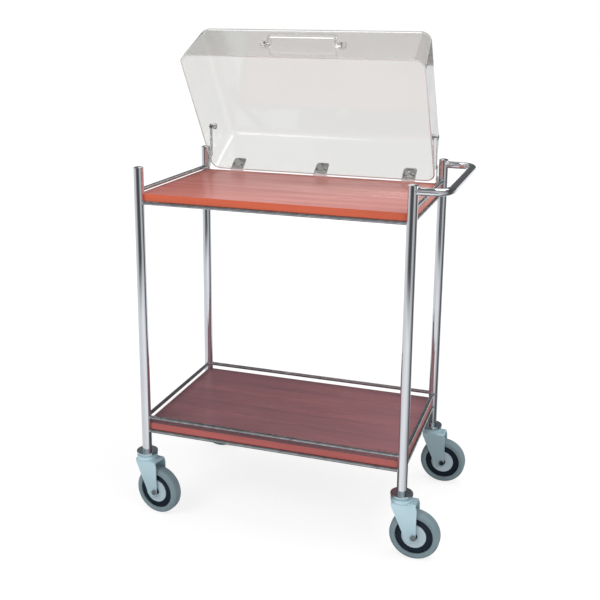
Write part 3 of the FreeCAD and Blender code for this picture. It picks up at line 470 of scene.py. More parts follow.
def dress(piece, body, slot, material, *nodes):
    """Give a finished piece its material, its body and the nodes that it stands for; its slot is not used.
    """
    piece.data.materials.clear()
    piece.data.materials.append(material)
    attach(piece, body)
    if nodes:
        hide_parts(*nodes)
    return piece


# %% [markdown]
# ## Rounded copies of the solids
#
# A CAD node arrives as loose triangles with razor edges. Metal and wood have none: every real edge
# catches a thin line of light. So a copy is joined into one skin, its flat faces are made whole, and
# a bevel rounds each edge by its own small radius.

# %% Rounded copy
SAME_POINT, SAME_PLANE = 0.000002, math.radians(0.5)


def rounded_copy(node, name, edge=0.0, segments=2, sharp=30.0):
    """A joined copy of a CAD node with its sharp edges rounded and its curves shaded smooth."""
    piece = bpy.data.objects.new(name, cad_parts[node].data.copy())
    bpy.context.scene.collection.objects.link(piece)
    work_on(piece)
    bpy.ops.object.mode_set(mode="EDIT")
    bpy.ops.mesh.select_all(action="SELECT")
    bpy.ops.mesh.remove_doubles(threshold=SAME_POINT)
    bpy.ops.mesh.dissolve_limited(angle_limit=SAME_PLANE)
    finish_edit()
    if edge:
        apply_modifier(piece, "BEVEL", width=edge, segments=segments, limit_method="ANGLE",
                       angle_limit=math.radians(sharp), miter_outer="MITER_ARC",
                       use_clamp_overlap=True)
    return smooth(piece)


# %% [markdown]
# ## Posts, rails and push handle
#
# The frame is bent and welded from chromed tube. Each round part is a smooth copy of its solid, and
# only the posts, which are sawn off square, need an edge.

# %% Posts and rails
POST_EDGE = 0.4 * MM
for corner in CORNERS:
    post = rounded_copy(f"post_{corner}", f"chrome_post_{corner}", edge=POST_EDGE)
    dress(post, "frame", "chrome_tube", chrome, f"post_{corner}")

for node in ("top_support_rods", "lower_support_rods", "top_side_rails", "lower_guard_rails"):
    dress(rounded_copy(node, f"chrome_{node}"), "frame", "chrome_tube", rail_chrome_painted_shade, node)
dress(rounded_copy("push_handle", "chrome_push_handle"), "frame", "chrome_tube", chrome, "push_handle")

# %% [markdown]
# ## Welds
#
# Where a rail meets a post the real trolley has a small weld that the plating covers. A bead like
# that is a torus, so a thin one is set round every rail's end, sunk a little way into the post, and
# a larger one round each end of the push handle.

# %% Weld rings
ROD_RING, ROD_BEAD, INTO_POST = ROD_RADIUS + 0.2 * MM, 1.3 * MM, POST_RADIUS - 1.2 * MM
HANDLE_RING, HANDLE_BEAD, HANDLE_REACH, HANDLE_HEIGHT = 9.6 * MM, 1.5 * MM, 8.9 * MM, 914 * MM
GUARD_RAIL_RISE, SIDE_RAIL_RISE = 15 * MM, 8 * MM


def weld_ring(radius, bead, x, y, z, along):
    """A thin bead round a rail's end, its axis along X or Y."""
    turn = (0, math.pi / 2, 0) if along == "x" else (math.pi / 2, 0, 0)
    bpy.ops.mesh.primitive_torus_add(location=(x, y, z), rotation=turn, major_radius=radius,
                                     minor_radius=bead, major_segments=36, minor_segments=10)
    ring = bpy.context.object
    ring.name = "weld"
    return settle(ring)


levels_along_x = [
    TOP_BOARD - BOARD_THICKNESS - ROD_RADIUS,
    LOWER_BOARD - BOARD_THICKNESS - ROD_RADIUS,
    LOWER_BOARD + GUARD_RAIL_RISE,
]
levels_along_y = levels_along_x + [TOP_BOARD + SIDE_RAIL_RISE]
welds = []
for sign_x in (-1, 1):
    for sign_y in (-1, 1):
        for z in levels_along_x:
            x, y = sign_x * (POST_X - INTO_POST), sign_y * POST_Y
            welds.append(weld_ring(ROD_RING, ROD_BEAD, x, y, z, "x"))
        for z in levels_along_y:
            x, y = sign_x * POST_X, sign_y * (POST_Y - INTO_POST)
            welds.append(weld_ring(ROD_RING, ROD_BEAD, x, y, z, "y"))
for sign_y in (-1, 1):
    x, y = POST_X + HANDLE_REACH, sign_y * POST_Y
    welds.append(weld_ring(HANDLE_RING, HANDLE_BEAD, x, y, HANDLE_HEIGHT, "x"))
dress(smooth(join(welds, "rail_welds")), "frame", "chrome_tube", chrome)
print("weld rings:", len(welds))

# %% [markdown]
# ## Post caps
#
# Each post is closed by a pressed cap: a thin lip that sits on the tube's end and a low dome over
# it. The lip is a short cylinder, and its top is drawn in and raised in four steps that get flatter.

# %% Post caps
CAP_LIP = 1.2 * MM
CAP_STEPS = ((1.6 * MM, 0.9 * MM), (2.2 * MM, 0.9 * MM), (2.6 * MM, 0.6 * MM), (2.6 * MM, 0.3 * MM))


def post_cap(x, y):
    """One cap on its post, with CAP_STEPS saying how far each step goes in and up."""
    bpy.ops.mesh.primitive_cylinder_add(vertices=48, radius=POST_RADIUS, depth=CAP_LIP,
                                        location=(x, y, POST_TOP + CAP_LIP / 2))
    cap = settle(bpy.context.object)
    for inset, rise in CAP_STEPS:
        pick(cap, "FACE", lambda face: face.normal.z > 0.9 and len(face.vertices) > 8)
        bpy.ops.mesh.inset(thickness=inset)
        bpy.ops.transform.translate(value=(0, 0, rise))
        finish_edit()
    return cap


caps = [post_cap(x, y) for x, y, _ in CORNERS.values()]
dress(smooth(join(caps, "post_caps"), 40), "frame", "chrome_tube", chrome, "post_end_caps")
print("post caps:", len(caps))

# %% [markdown]
# ## Boards
#
# Both boards are cut round the posts and have slightly eased edges. The copy keeps the CAD notches
# and screw holes, and a bevel of about a millimetre gives the edge band its highlight.

# %% Boards
BOARD_EDGE = 0.9 * MM
for tier, facing in (("top", top_laminate), ("lower", lower_laminate_painted_shade)):
    board = rounded_copy(f"{tier}_shelf_board", f"{tier}_board", edge=BOARD_EDGE, segments=3)
    dress(board, "frame", "red_wood_laminate", facing, f"{tier}_shelf_board")
    print(tier, "board faces:", len(board.data.polygons))

# %% [markdown]
# ## Hood and lift handle
#
# The hood is one clear moulding with generous rounded corners. Its rim was sawn and only lightly
# smoothed, so the edge scatters light and looks milky: those faces get a rougher material. They are
# found by turning their centres back to the closed hood, where the rim is level with the hinges' axis.
# The lift handle is a bent clear strip, held by a screw at each foot.

# %% Hood and lift handle
HINGE_AXIS = Vector((0, 208.5 * MM, 863 * MM))
HOOD_OPEN, HOOD_DRAFT = math.radians(57), math.radians(4)
ON_HOOD = Matrix.Translation(HINGE_AXIS) @ Matrix.Rotation(-HOOD_OPEN, 4, "X")
RIM_DEPTH = 0.1 * MM
hood = rounded_copy("hood_cover", "clear_hood", edge=0.5 * MM, segments=2, sharp=50)
dress(hood, "hood", "clear_acrylic", hood_acrylic, "hood_cover")
hood.data.materials.append(rim_acrylic)
closed = ON_HOOD.inverted()
for face in hood.data.polygons:
    if (closed @ face.center).z < RIM_DEPTH:
        face.material_index = 1
print("rim faces:", sum(face.material_index for face in hood.data.polygons))
lift = rounded_copy("hood_lift_handle", "lift_handle", edge=1.0 * MM, segments=3)
dress(lift, "hood", "clear_acrylic", handle_acrylic, "hood_lift_handle")

# %% [markdown]
# ## Hinges and stays
#
# Three butt hinges join the hood to the board. Each side has a folding stay: a foot bracket, a lower
# link, an upper link and a stud through the hood's wall. Plate this thin is stamped, so its edges are
# only lightly broken. The board's leaves also have two rounded corners, which a wider bevel makes on
# the short edges that run through the plate.

# %% Hinge leaves and pins
HINGE_X = {"left": -250 * MM, "middle": 0.0, "right": 250 * MM}
LEAF_CORNER, LEAF_EDGE, STAY_EDGE = 3.5 * MM, 0.3 * MM, 0.35 * MM
THROUGH_PLATE, NEAR = 1.2 * MM, 0.1 * MM


def board_leaf(side):
    """The leaf behind the board, with its two lower corners rounded."""
    leaf = rounded_copy(f"hinge_fixed_leaf_{side}", f"hinge_leaf_board_{side}")
    bottom = min(vertex.co.z for vertex in leaf.data.vertices)

    def low_corner(edge):
        a, b = ends_of(leaf, edge)
        through = abs(a.y - b.y) > THROUGH_PLATE and abs(a.x - b.x) < NEAR
        return through and max(a.z, b.z) < bottom + NEAR

    pick(leaf, "EDGE", low_corner)
    bpy.ops.mesh.bevel(offset=LEAF_CORNER, segments=6, affect="EDGES")
    finish_edit()
    apply_modifier(leaf, "BEVEL", width=LEAF_EDGE, segments=2, limit_method="ANGLE",
                   angle_limit=math.radians(50), use_clamp_overlap=True)
    return smooth(leaf)


for side in HINGE_X:
    dress(board_leaf(side), "frame", "plated_steel", satin_nickel, f"hinge_fixed_leaf_{side}")
    moving = rounded_copy(f"hinge_moving_leaf_{side}", f"hinge_leaf_hood_{side}", edge=LEAF_EDGE, sharp=50)
    dress(moving, "hood", "plated_steel", satin_nickel, f"hinge_moving_leaf_{side}")
pins = rounded_copy("hinge_pins", "hinge_pin_set", edge=LEAF_EDGE)
dress(pins, "frame", "plated_steel", nickel, "hinge_pins")
print("hinges:", len(HINGE_X))

# %% Stay plates
for side in SIDES:
    bodies = {"bracket": "frame", "lower_link": f"stay_lower_{side}", "upper_link": f"stay_upper_{side}"}
    for part, body in bodies.items():
        piece = rounded_copy(f"stay_{part}_{side}", f"stay_plate_{part}_{side}", edge=STAY_EDGE)
        dress(piece, body, "plated_steel", nickel, f"stay_{part}_{side}")

# %% [markdown]
# ## Screws
#
# The screws are pan heads with a cross recess. One head starts as a short bar, its crown is rounded
# and the cross is cut out with a boolean. All other heads are copies. Hexagon nuts hold the screws
# that go through the hood.

# %% One screw head and one nut
HEAD_RADIUS, HEAD_HEIGHT, HEAD_CROWN = 3.8 * MM, 2.2 * MM, 1.4 * MM
CROSS_LENGTH, CROSS_WIDTH, CROSS_DEPTH = 4.4 * MM, 0.9 * MM, 1.2 * MM
NUT_EDGE = 0.3 * MM


def bar(name, radius, top, foot, sides=24):
    """A round or many-sided bar on the Z axis, from its top down to its foot."""
    bpy.ops.mesh.primitive_cylinder_add(vertices=sides, radius=radius, depth=top - foot,
                                        location=(0, 0, (top + foot) / 2))
    piece = bpy.context.object
    piece.name = name
    return settle(piece)


def pan_head():
    """A screw head that stands on Z = 0 with its recess upwards."""
    head = bar("pan_head", HEAD_RADIUS, HEAD_HEIGHT, 0.0)
    pick(head, "EDGE", lambda edge: all(end.z > 0.9 * HEAD_HEIGHT for end in ends_of(head, edge)))
    bpy.ops.mesh.bevel(offset=HEAD_CROWN, segments=4, affect="EDGES")
    finish_edit()
    for length, width in ((CROSS_LENGTH, CROSS_WIDTH), (CROSS_WIDTH, CROSS_LENGTH)):
        bpy.ops.mesh.primitive_cube_add(size=1, location=(0, 0, HEAD_HEIGHT))
        cutter = bpy.context.object
        cutter.scale = (length, width, 2 * CROSS_DEPTH)
        settle(cutter)
        apply_modifier(head, "BOOLEAN", operation="DIFFERENCE", object=cutter, solver="EXACT")
        drop(cutter)
    return smooth(head, 40)


def hex_nut():
    """A nut that stands on Z = 0, its upper corners eased."""
    nut = bar("nut", HEAD_RADIUS, HEAD_HEIGHT, 0.0, sides=6)
    apply_modifier(nut, "BEVEL", width=NUT_EDGE, segments=2, limit_method="ANGLE",
                   angle_limit=math.radians(40))
    return smooth(nut, 40)


head, nut = pan_head(), hex_nut()
print("screw head faces:", len(head.data.polygons))

# %% [markdown]
# ## Screws in place
#
# A screw is put in place by one matrix: Z is the way its head points, and the origin lies on the
# seat of the head. The board's leaves are screwed on from behind, and all heads on the hood look
# forward.

# %% One whole screw
FORWARD = Matrix.Rotation(math.pi / 2, 4, "X")
BACKWARD = Matrix.Rotation(-math.pi / 2, 4, "X")
SHANK_RADIUS = 2 * MM


def screw(seat, length, nut_depth=None):
    """The pieces of one screw, with a nut where nut_depth says how deep it sits."""
    shank = bar("shank", SHANK_RADIUS, 0.0, -length, sides=16)
    pieces = [twin(head, "screw_head", seat), twin(shank, "screw_shank", seat)]
    if nut_depth is not None:
        below = seat @ Matrix.Translation((0, 0, -nut_depth - HEAD_HEIGHT))
        pieces.append(twin(nut, "screw_nut", below))
    drop(shank)
    return pieces


# %% All screws
SCREW_APART = 12 * MM
LEAF_FACE, BOARD_SCREW_HEIGHT, BOARD_SCREW_LENGTH = 206.6 * MM, 852.5 * MM, 13 * MM
WALL_SEAT, LOW_SCREWS, HIGH_SCREW, WALL_STACK = -7.5 * MM, 17 * MM, 37.5 * MM, 5.6 * MM
LIFT_PLACE = Vector((0, -393.38 * MM, 58 * MM))
LIFT_SCREW_X, LIFT_SEAT, LIFT_STACK = 103 * MM, -5 * MM, 9 * MM
ON_BACK_WALL = ON_HOOD @ Matrix.Rotation(HOOD_DRAFT, 4, "X")
ON_LIFT = ON_HOOD @ Matrix.Translation(LIFT_PLACE) @ Matrix.Rotation(-HOOD_DRAFT, 4, "X")

board_screws, hood_screws, lift_screws = [], [], []
for x in HINGE_X.values():
    for dx in (-SCREW_APART, SCREW_APART):
        seat = Matrix.Translation((x + dx, LEAF_FACE, BOARD_SCREW_HEIGHT)) @ BACKWARD
        board_screws += screw(seat, BOARD_SCREW_LENGTH)
    for dx, rise in ((-SCREW_APART, LOW_SCREWS), (SCREW_APART, LOW_SCREWS), (0, HIGH_SCREW)):
        seat = ON_BACK_WALL @ Matrix.Translation((x + dx, WALL_SEAT, rise)) @ FORWARD
        hood_screws += screw(seat, WALL_STACK, WALL_STACK)
for x in (-LIFT_SCREW_X, LIFT_SCREW_X):
    seat = ON_LIFT @ Matrix.Translation((x, LIFT_SEAT, 0)) @ FORWARD
    lift_screws += screw(seat, LIFT_STACK, LIFT_STACK)
for pieces, name, body, node in (
    (board_screws, "board_screws", "frame", "hinge_board_screws"),
    (hood_screws, "hood_screws", "hood", "hinge_hood_screws"),
    (lift_screws, "lift_screws", "hood", "hood_handle_screws"),
):
    print(name, "parts:", len(pieces))
    dress(smooth(join(pieces, name), 40), body, "plated_steel", screw_steel, node)
drop(head, nut)

# %% [markdown]
# ## Thumb knobs
#
# A stud with a knurled thumb knob goes through each side wall of the hood, where a hand can slacken
# it. The knurl is made by drawing in every second long edge of a round bar, and two insets raise a
# low boss on each end. The stud is built upright and then turned to lie along X.

# %% Studs with thumb knobs
KNOB_RADIUS, KNOB_LENGTH, KNURL = 8 * MM, 7 * MM, 0.93
KNOB_BORDER, BOSS_SLOPE, BOSS_RISE = 1.6 * MM, 0.8 * MM, 0.5 * MM
STUD_RADIUS, STUD_FORWARD, STUD_RISE = 3 * MM, 109.7 * MM, 59.4 * MM
WASHER_RADIUS, WASHER_THICKNESS, WASHER_EDGE = 7 * MM, 2 * MM, 0.4 * MM
KNOB_OUT, WASHER_OUT = 315.9 * MM, 330.4 * MM


def thumb_stud(side, sign):
    """Knob, shank and washer in line along X, on one side of the hood."""
    knob = bar("knob", KNOB_RADIUS, KNOB_LENGTH, 0.0, sides=48)

    def second_long_edge(edge):
        a, b = ends_of(knob, edge)
        return abs(a.z - b.z) > 0.9 * KNOB_LENGTH and edge.index % 2

    pick(knob, "EDGE", second_long_edge)
    bpy.ops.transform.resize(value=(KNURL, KNURL, 1), center_override=(0, 0, KNOB_LENGTH / 2))
    finish_edit()
    pick(knob, "FACE", lambda face: abs(face.normal.z) > 0.9)
    bpy.ops.mesh.inset(thickness=KNOB_BORDER, use_individual=True)
    bpy.ops.mesh.inset(thickness=BOSS_SLOPE, depth=BOSS_RISE, use_individual=True)
    finish_edit()
    end = WASHER_OUT - KNOB_OUT + KNOB_LENGTH
    shank = bar("shank", STUD_RADIUS, end, KNOB_LENGTH)
    washer = bar("washer", WASHER_RADIUS, end, end - WASHER_THICKNESS)
    apply_modifier(washer, "BEVEL", width=WASHER_EDGE, segments=2, limit_method="ANGLE")
    stud = join([shank, washer, knob], f"thumb_stud_{side}")
    stud.matrix_world = (
        ON_HOOD @ Matrix.Translation((sign * (KNOB_OUT - KNOB_LENGTH), -STUD_FORWARD, STUD_RISE))
        @ Matrix.Rotation(sign * math.pi / 2, 4, "Y")
    )
    return smooth(settle(stud), 40)


for side, sign in SIDES.items():
    dress(thumb_stud(side, sign), "hood", "plated_steel", screw_steel, f"stay_stud_{side}")

# %% [markdown]
# ## Rivets
#
# The stays' rivets were struck over, which leaves a low dome on the outer side. A sphere is pressed
# flat along X and its inner half is cut away. The foot's dome stays with the frame, and the elbow's
# rides on the lower link.

# %% Rivet heads
RIVET_RADIUS, RIVET_FLATNESS = 3.6 * MM, 0.4
STAY_FOOT = Vector((332.8 * MM, 193.5 * MM, 877 * MM))
STAY_ELBOW = HINGE_AXIS + Vector((330.4 * MM, -8.745 * MM, 44.362 * MM))


def rivet_head(name, x, y, z, sign):
    """A low dome on a plate's outer face."""
    bpy.ops.mesh.primitive_uv_sphere_add(segments=20, ring_count=10, radius=RIVET_RADIUS)
    dome = bpy.context.object
    dome.name = name
    dome.scale = (RIVET_FLATNESS, 1, 1)
    settle(dome)
    pick(dome, "FACE", lambda face: face.center.x < 0)
    bpy.ops.mesh.delete(type="FACE")
    finish_edit()
    half_turn = 0 if sign > 0 else math.pi
    dome.matrix_world = Matrix.Translation((sign * x, y, z)) @ Matrix.Rotation(half_turn, 4, "Z")
    return smooth(settle(dome), 60)


for side, sign in SIDES.items():
    foot = rivet_head(f"rivet_foot_{side}", *STAY_FOOT, sign)
    dress(foot, "frame", "plated_steel", nickel)
    elbow = rivet_head(f"rivet_elbow_{side}", *STAY_ELBOW, sign)
    dress(elbow, f"stay_lower_{side}", "plated_steel", nickel)

# %% [markdown]
# ## Casters
#
# A caster is a stem with a turned swivel head, a pressed fork that swivels under it, and an axle
# bolt. Pressing rounds every bend and edge, so the copies get a generous bevel. The stem stays with
# the frame, and the fork and the bolt ride on the swivel.

# %% Forks, stems and axles
PRESSED_EDGE, BOLT_EDGE = 0.9 * MM, 0.5 * MM
for corner in CORNERS:
    swivel = f"caster_swivel_{corner}"
    fork = rounded_copy(f"caster_fork_{corner}", f"fork_{corner}", edge=PRESSED_EDGE, segments=3)
    dress(fork, swivel, "plated_steel", zinc, f"caster_fork_{corner}")
    axle = rounded_copy(f"caster_axle_{corner}", f"axle_bolt_{corner}", edge=BOLT_EDGE)
    dress(axle, swivel, "plated_steel", screw_steel, f"caster_axle_{corner}")
    stem = rounded_copy(f"caster_stem_{corner}", f"stem_{corner}", edge=PRESSED_EDGE, segments=3)
    dress(stem, "frame", "plated_steel", bright_zinc, f"caster_stem_{corner}")
print("fork faces:", len(fork.data.polygons))

# %% [markdown]
# ## Wheels
#
# Wheels are turned shapes. A rectangle is added where the section of the tyre, the wheel centre or a
# guard is, its corners are rounded one pair at a time, and the section is spun once round the axle.
# The caster is modelled on a swivel axis at the origin, so that copies can go to all four corners.

# %% Spinning a section
WHEEL_RADIUS, CASTER_TRAIL = 62.5 * MM, 36 * MM
AXLE = Vector((CASTER_TRAIL, 0, WHEEL_RADIUS))


def section(name, front, back, low, high):
    """A rectangle in the YZ plane over the axle: front to back along Y, low to high from the axle."""
    bpy.ops.mesh.primitive_plane_add(size=1, rotation=(0, math.pi / 2, 0),
                                     location=(AXLE.x, (front + back) / 2, AXLE.z + (low + high) / 2))
    piece = bpy.context.object
    piece.name = name
    piece.scale = (high - low, back - front, 1)
    return settle(piece)


def round_corners(piece, radius, segments, test):
    """Round the corners of a section that pass a test."""
    pick(piece, "VERT", test)
    bpy.ops.mesh.bevel(offset=radius, segments=segments, affect="VERTICES")
    finish_edit()


def above(height):
    """A test for the corners of a section that lie above a height over the axle."""
    return lambda vertex: vertex.co.z > AXLE.z + height


def spin_round(piece, steps=96):
    """Spin a flat section once round the axle and close it."""
    pick(piece, "FACE", lambda face: True)
    bpy.ops.mesh.spin(steps=steps, angle=2 * math.pi, center=AXLE, axis=(0, 1, 0), use_auto_merge=True)
    bpy.ops.mesh.select_all(action="SELECT")
    bpy.ops.mesh.remove_doubles(threshold=SAME_POINT)
    finish_edit()
    # The first section's own face is left inside the ring, square to X.
    pick(piece, "FACE", lambda face: abs(face.normal.x) > 0.999 and abs(face.center.x - AXLE.x) < 1e-7)
    bpy.ops.mesh.delete(type="FACE")
    bpy.ops.mesh.select_all(action="SELECT")
    bpy.ops.mesh.normals_make_consistent(inside=False)
    finish_edit()
    return smooth(piece, 40)


# %% Tyre
TYRE_HALF_WIDTH, RIM_RADIUS = 16 * MM, 47 * MM
SHOULDER, BEAD_CORNER = 9 * MM, 2 * MM
tyre = section("tyre", -TYRE_HALF_WIDTH, TYRE_HALF_WIDTH, RIM_RADIUS, WHEEL_RADIUS)
round_corners(tyre, SHOULDER, 8, above(WHEEL_RADIUS - NEAR))
round_corners(tyre, BEAD_CORNER, 3, lambda vertex: vertex.co.z < AXLE.z + RIM_RADIUS + NEAR)
spin_round(tyre)
print("tyre faces:", len(tyre.data.polygons))

# %% Wheel centre
RIM_HALF_WIDTH, RIM_BORE, RIM_CORNER = 12 * MM, 8.9 * MM, 1.2 * MM
HUB_HALF_WIDTH, HUB_RADIUS, HUB_BORE, HUB_CORNER = 18.5 * MM, 9 * MM, 4.1 * MM, 0.8 * MM
rim = section("rim", -RIM_HALF_WIDTH, RIM_HALF_WIDTH, RIM_BORE, RIM_RADIUS)
round_corners(rim, RIM_CORNER, 3, above(RIM_RADIUS - NEAR))
spin_round(rim)
hub = section("hub", -HUB_HALF_WIDTH, HUB_HALF_WIDTH, HUB_BORE, HUB_RADIUS)
round_corners(hub, HUB_CORNER, 2, above(HUB_RADIUS - NEAR))
spin_round(hub)
rim = smooth(join([hub, rim], "wheel_centre"), 40)
print("wheel centre faces:", len(rim.data.polygons))

# %% Thread guard
GUARD_FRONT, GUARD_BACK, GUARD_RADIUS, GUARD_CORNER = -16 * MM, -12 * MM, 34 * MM, 1.2 * MM
DISH_FRONT, DISH_RADIUS, DISH_BORE, RAISED_FROM = -14.6 * MM, 30.5 * MM, 9.2 * MM, 30 * MM


def dished_guard():
    """A disc in front of the wheel: a raised, rounded edge and a thinner centre set back from it."""
    edge = section("guard", GUARD_FRONT, GUARD_BACK, RAISED_FROM, GUARD_RADIUS)
    round_corners(edge, GUARD_CORNER, 3, lambda vertex: vertex.co.y < GUARD_FRONT + NEAR)
    centre = section("guard_centre", DISH_FRONT, GUARD_BACK, DISH_BORE, DISH_RADIUS)
    return smooth(join([spin_round(centre), spin_round(edge)], "guard"), 40)


guard = dished_guard()
print("thread guard faces:", len(guard.data.polygons))

# %% Wheels at the four corners
HALF_TURN = Matrix.Rotation(math.pi, 4, "Z")
TURN_ROUND = Matrix.Translation((AXLE.x, 0, 0)) @ HALF_TURN @ Matrix.Translation((-AXLE.x, 0, 0))
for corner in CORNERS:
    body, place = f"caster_wheel_{corner}", at_caster(corner)
    wheel = twin(tyre, f"tyre_{corner}", place)
    dress(wheel, body, "grey_rubber", rubber, f"caster_tyre_{corner}")
    centre = twin(rim, f"wheel_centre_{corner}", place)
    dress(centre, body, "dark_plastic", wheel_plastic, f"caster_rim_{corner}")
    pair = [twin(guard, "guard_side", place @ side) for side in (Matrix.Identity(4), TURN_ROUND)]
    guards = smooth(join(pair, f"thread_guards_{corner}"), 40)
    dress(guards, body, "pale_plastic", guard_plastic, f"caster_thread_guards_{corner}")
drop(tyre, rim, guard)

# %% [markdown]
# ## Studio reflections
#
# Chrome needs something to mirror: it sees a pale studio floor that turns dark far in front, one dark
# gap on the handle's side, and grey walls under a dark ceiling. One group gives these grey levels by
# compass direction, and the world and the floor both use it.

# %% Group: studio ring
studio_ring, ring_in, ring_out = new_group(
    "studio ring", [("Direction", VECTOR, (0, 0, 0))],
    [("Near Floor", NUMBER), ("Far Floor", NUMBER), ("Wall", NUMBER)],
)
parts = add_node(studio_ring, "ShaderNodeSeparateXYZ", [("Vector", ring_in.outputs["Direction"])])
heading = add_node(studio_ring, "ShaderNodeMath", [(0, parts.outputs["Y"]), (1, parts.outputs["X"])],
                   operation="ARCTAN2")
turns = add_node(studio_ring, "ShaderNodeMapRange", [("Value", heading.outputs[0])],
                 From_Min=-math.pi, From_Max=math.pi)
LEVELS = {
    "Near Floor": {-180: 0.78, -140: 0.74, -100: 0.86, -70: 0.95, -40: 0.8, -15: 0.42, 4: 0.1,
                   20: 0.08, 34: 0.3, 55: 0.9, 90: 1.0, 130: 0.9, 155: 0.75, 180: 0.78},
    "Far Floor": {-180: 0.75, -140: 0.62, -118: 0.16, -95: 0.06, -62: 0.12, -44: 0.6, -20: 0.45,
                  2: 0.08, 18: 0.08, 34: 0.3, 55: 0.85, 100: 1.0, 150: 0.75, 180: 0.75},
    "Wall": {-180: 0.4, -130: 0.35, -100: 0.5, -60: 0.6, -25: 0.35, 5: 0.08, 25: 0.08, 55: 0.1,
             90: 0.12, 125: 0.16, 150: 0.3, 180: 0.4},
}
for output, levels in LEVELS.items():
    bands = studio_ring.nodes.new("ShaderNodeValToRGB")
    studio_ring.links.new(turns.outputs["Result"], bands.inputs["Fac"])
    studio_ring.links.new(bands.outputs["Color"], ring_out.inputs[output])
    ramp = bands.color_ramp
    ramp.interpolation = "EASE"
    while len(ramp.elements) < len(levels):
        ramp.elements.new(0.5)
    for element, (degrees, level) in zip(ramp.elements, levels.items()):
        element.position = (degrees + 180) / 360
        element.color = (level, level, level, 1)
    print(output, "levels:", len(levels))

# %% [markdown]
# ## Floor
#
# The photograph is a cut-out on white. The floor is white to the camera and through the hood, with a
# faint shadow near the trolley, matt to bounced light, and the studio ring to chrome. Right under the
# trolley the mirrored floor is darker, because the trolley itself stands in the way of the light.


# %% What the camera sees
def seen_directly(tree, rays):
    """1 where the camera looks, straight or through the clear hood."""
    return add_node(tree, "ShaderNodeMath", [
        (0, rays.outputs["Is Camera Ray"]), (1, rays.outputs["Is Transmission Ray"]),
    ], operation="MAXIMUM").outputs[0]


def mix_shaders(tree, factor, first, second):
    """Two shaders mixed by a factor."""
    return add_node(tree, "ShaderNodeMixShader", [(0, factor), (1, first), (2, second)]).outputs[0]


# %% Floor
WHITE, STUDIO_TINT = (1, 1, 1, 1), (0.95, 0.97, 1.0, 1)
WHITE_FROM, WHITE_TO, WHITE_NEAR = 0.8, 2.0, 0.72
FAR_FROM, FAR_TO = 1.9, 2.7
UNDER_PLACE, UNDER_SIZE, UNDER_LEVEL = (0, 0.22, 0), (0.5, 0.58, 1), 0.1
bpy.ops.mesh.primitive_plane_add(size=60, location=(0, 0, 0))
floor = bpy.context.object
floor.name = "floor"
floor_material = bpy.data.materials.new("floor white")
floor_material.use_nodes = True
tree = floor_material.node_tree
tree.nodes.clear()
rays = tree.nodes.new("ShaderNodeLightPath")
spot = add_node(tree, "ShaderNodeTexCoord").outputs["Object"]
away = add_node(tree, "ShaderNodeVectorMath", [(0, spot)], operation="LENGTH").outputs["Value"]
matt = add_node(tree, "ShaderNodeBsdfDiffuse", Color=(0.9, 0.9, 0.9, 1)).outputs[0]
white = add_node(tree, "ShaderNodeEmission", Color=WHITE, Strength=1.1).outputs[0]
white_share = add_node(tree, "ShaderNodeMapRange", [("Value", away)],
                       From_Min=WHITE_FROM, From_Max=WHITE_TO, To_Min=WHITE_NEAR, To_Max=1.0)
mirrored = add_node(tree, "ShaderNodeGroup", [("Direction", spot)], node_tree=studio_ring)
is_far = add_node(tree, "ShaderNodeMapRange", [("Value", away)], From_Min=FAR_FROM, From_Max=FAR_TO)
by_distance = add_node(tree, "ShaderNodeMix", [
    ("Factor", is_far.outputs["Result"]),
    ("A", mirrored.outputs["Near Floor"]), ("B", mirrored.outputs["Far Floor"]),
])
beneath = add_node(tree, "ShaderNodeMapping", [("Vector", spot)],
                   vector_type="TEXTURE", Location=UNDER_PLACE, Scale=UNDER_SIZE)
ways = add_node(tree, "ShaderNodeVectorMath", [(0, beneath.outputs[0])], operation="ABSOLUTE")
ways = add_node(tree, "ShaderNodeSeparateXYZ", [("Vector", ways.outputs[0])])
edge = add_node(tree, "ShaderNodeMath", [(0, ways.outputs["X"]), (1, ways.outputs["Y"])],
                operation="MAXIMUM")
shade = add_node(tree, "ShaderNodeMapRange", [("Value", edge.outputs[0])],
                 From_Min=0.8, From_Max=1.15, To_Min=UNDER_LEVEL, To_Max=1.0)
level = add_node(tree, "ShaderNodeMath", [(0, by_distance.outputs[0]), (1, shade.outputs["Result"])],
                 operation="MULTIPLY")
reflection = add_node(tree, "ShaderNodeEmission", [("Strength", level.outputs[0])], Color=STUDIO_TINT)
lit = mix_shaders(tree, white_share.outputs["Result"], matt, white)
unseen = mix_shaders(tree, rays.outputs["Is Glossy Ray"], matt, reflection.outputs[0])
mixed = mix_shaders(tree, seen_directly(tree, rays), unseen, lit)
add_node(tree, "ShaderNodeOutputMaterial", [("Surface", mixed)])
floor.data.materials.append(floor_material)
print("floor nodes:", len(tree.nodes))

# %% [markdown]
# ## World
#
# The world does the same above the floor: plain white for the camera, the studio's walls and dark
# ceiling for chrome, and a soft even light for everything else.

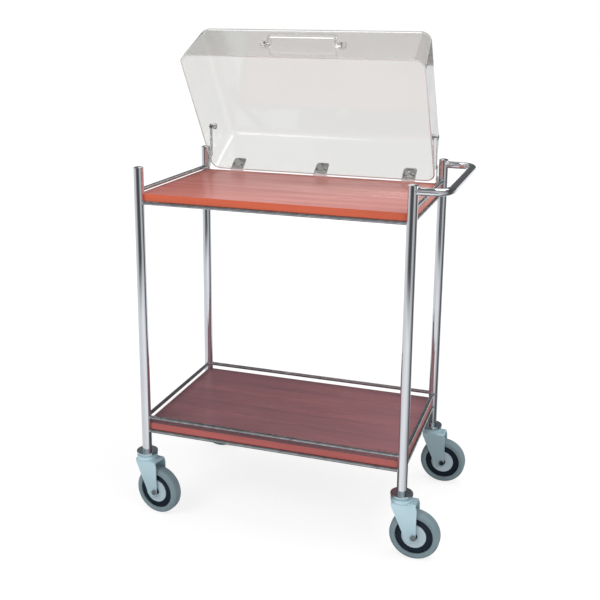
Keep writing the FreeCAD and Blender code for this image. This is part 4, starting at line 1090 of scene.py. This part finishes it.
# %% World
CEILING_FROM, CEILING_TO, CEILING_LEVEL = 0.5, 0.85, 0.16
world = bpy.data.worlds.new("studio")
world.use_nodes = True
bpy.context.scene.world = world
tree = world.node_tree
tree.nodes.clear()
rays = tree.nodes.new("ShaderNodeLightPath")
direction = add_node(tree, "ShaderNodeTexCoord").outputs["Generated"]
mirrored = add_node(tree, "ShaderNodeGroup", [("Direction", direction)], node_tree=studio_ring)
height = add_node(tree, "ShaderNodeSeparateXYZ", [("Vector", direction)]).outputs["Z"]
ceiling = add_node(tree, "ShaderNodeMapRange", [("Value", height)],
                   From_Min=CEILING_FROM, From_Max=CEILING_TO)
overhead = add_node(tree, "ShaderNodeMix", [
    ("Factor", ceiling.outputs["Result"]), ("A", mirrored.outputs["Wall"]),
], B=CEILING_LEVEL)
studio = add_node(tree, "ShaderNodeBackground", [("Strength", overhead.outputs[0])], Color=STUDIO_TINT)
soft = add_node(tree, "ShaderNodeBackground", Color=WHITE, Strength=0.62)
plain = add_node(tree, "ShaderNodeBackground", Color=WHITE, Strength=1.0)
unseen = mix_shaders(tree, rays.outputs["Is Glossy Ray"], soft.outputs[0], studio.outputs[0])
final = mix_shaders(tree, seen_directly(tree, rays), unseen, plain.outputs[0])
add_node(tree, "ShaderNodeOutputWorld", [("Surface", final)])
print("world nodes:", len(tree.nodes))

# %% [markdown]
# ## Lamps
#
# Four square lamps shape the forms: a key from the front left, a weaker fill from the right, one
# above and a faint one behind. The first two aren't mirrored, because the flat top of the closed hood
# would show them as hard white squares.


# %% Lamps
def soft_box(name, place, target, size, power):
    """A square lamp that looks at a point."""
    data = bpy.data.lights.new(name, "AREA")
    data.shape = "SQUARE"
    data.size = size
    data.energy = power
    lamp = bpy.data.objects.new(name, data)
    lamp.location = place
    lamp.rotation_euler = (Vector(target) - Vector(place)).to_track_quat("-Z", "Y").to_euler()
    bpy.context.scene.collection.objects.link(lamp)
    return lamp


for lamp in (soft_box("key", (-1.6, -2.4, 2.6), target=(0, 0, 0.6), size=1.6, power=42),
             soft_box("fill", (2.4, -1.8, 1.8), target=(0, 0, 0.6), size=1.6, power=20)):
    lamp.visible_glossy = False
soft_box("top", (1.1, 0.2, 3.0), target=(0, 0, 0.8), size=1.4, power=30)
soft_box("back panel", (-0.55, 1.7, 3.0), target=(0, 0.3, 0.9), size=1.5, power=5)
print("lamps:", len(bpy.data.lights))

# %% [markdown]
# ## Finish
#
# The standard view keeps the colours as they are set.

# %% View settings and the last line
bpy.context.scene.view_settings.view_transform = "Standard"
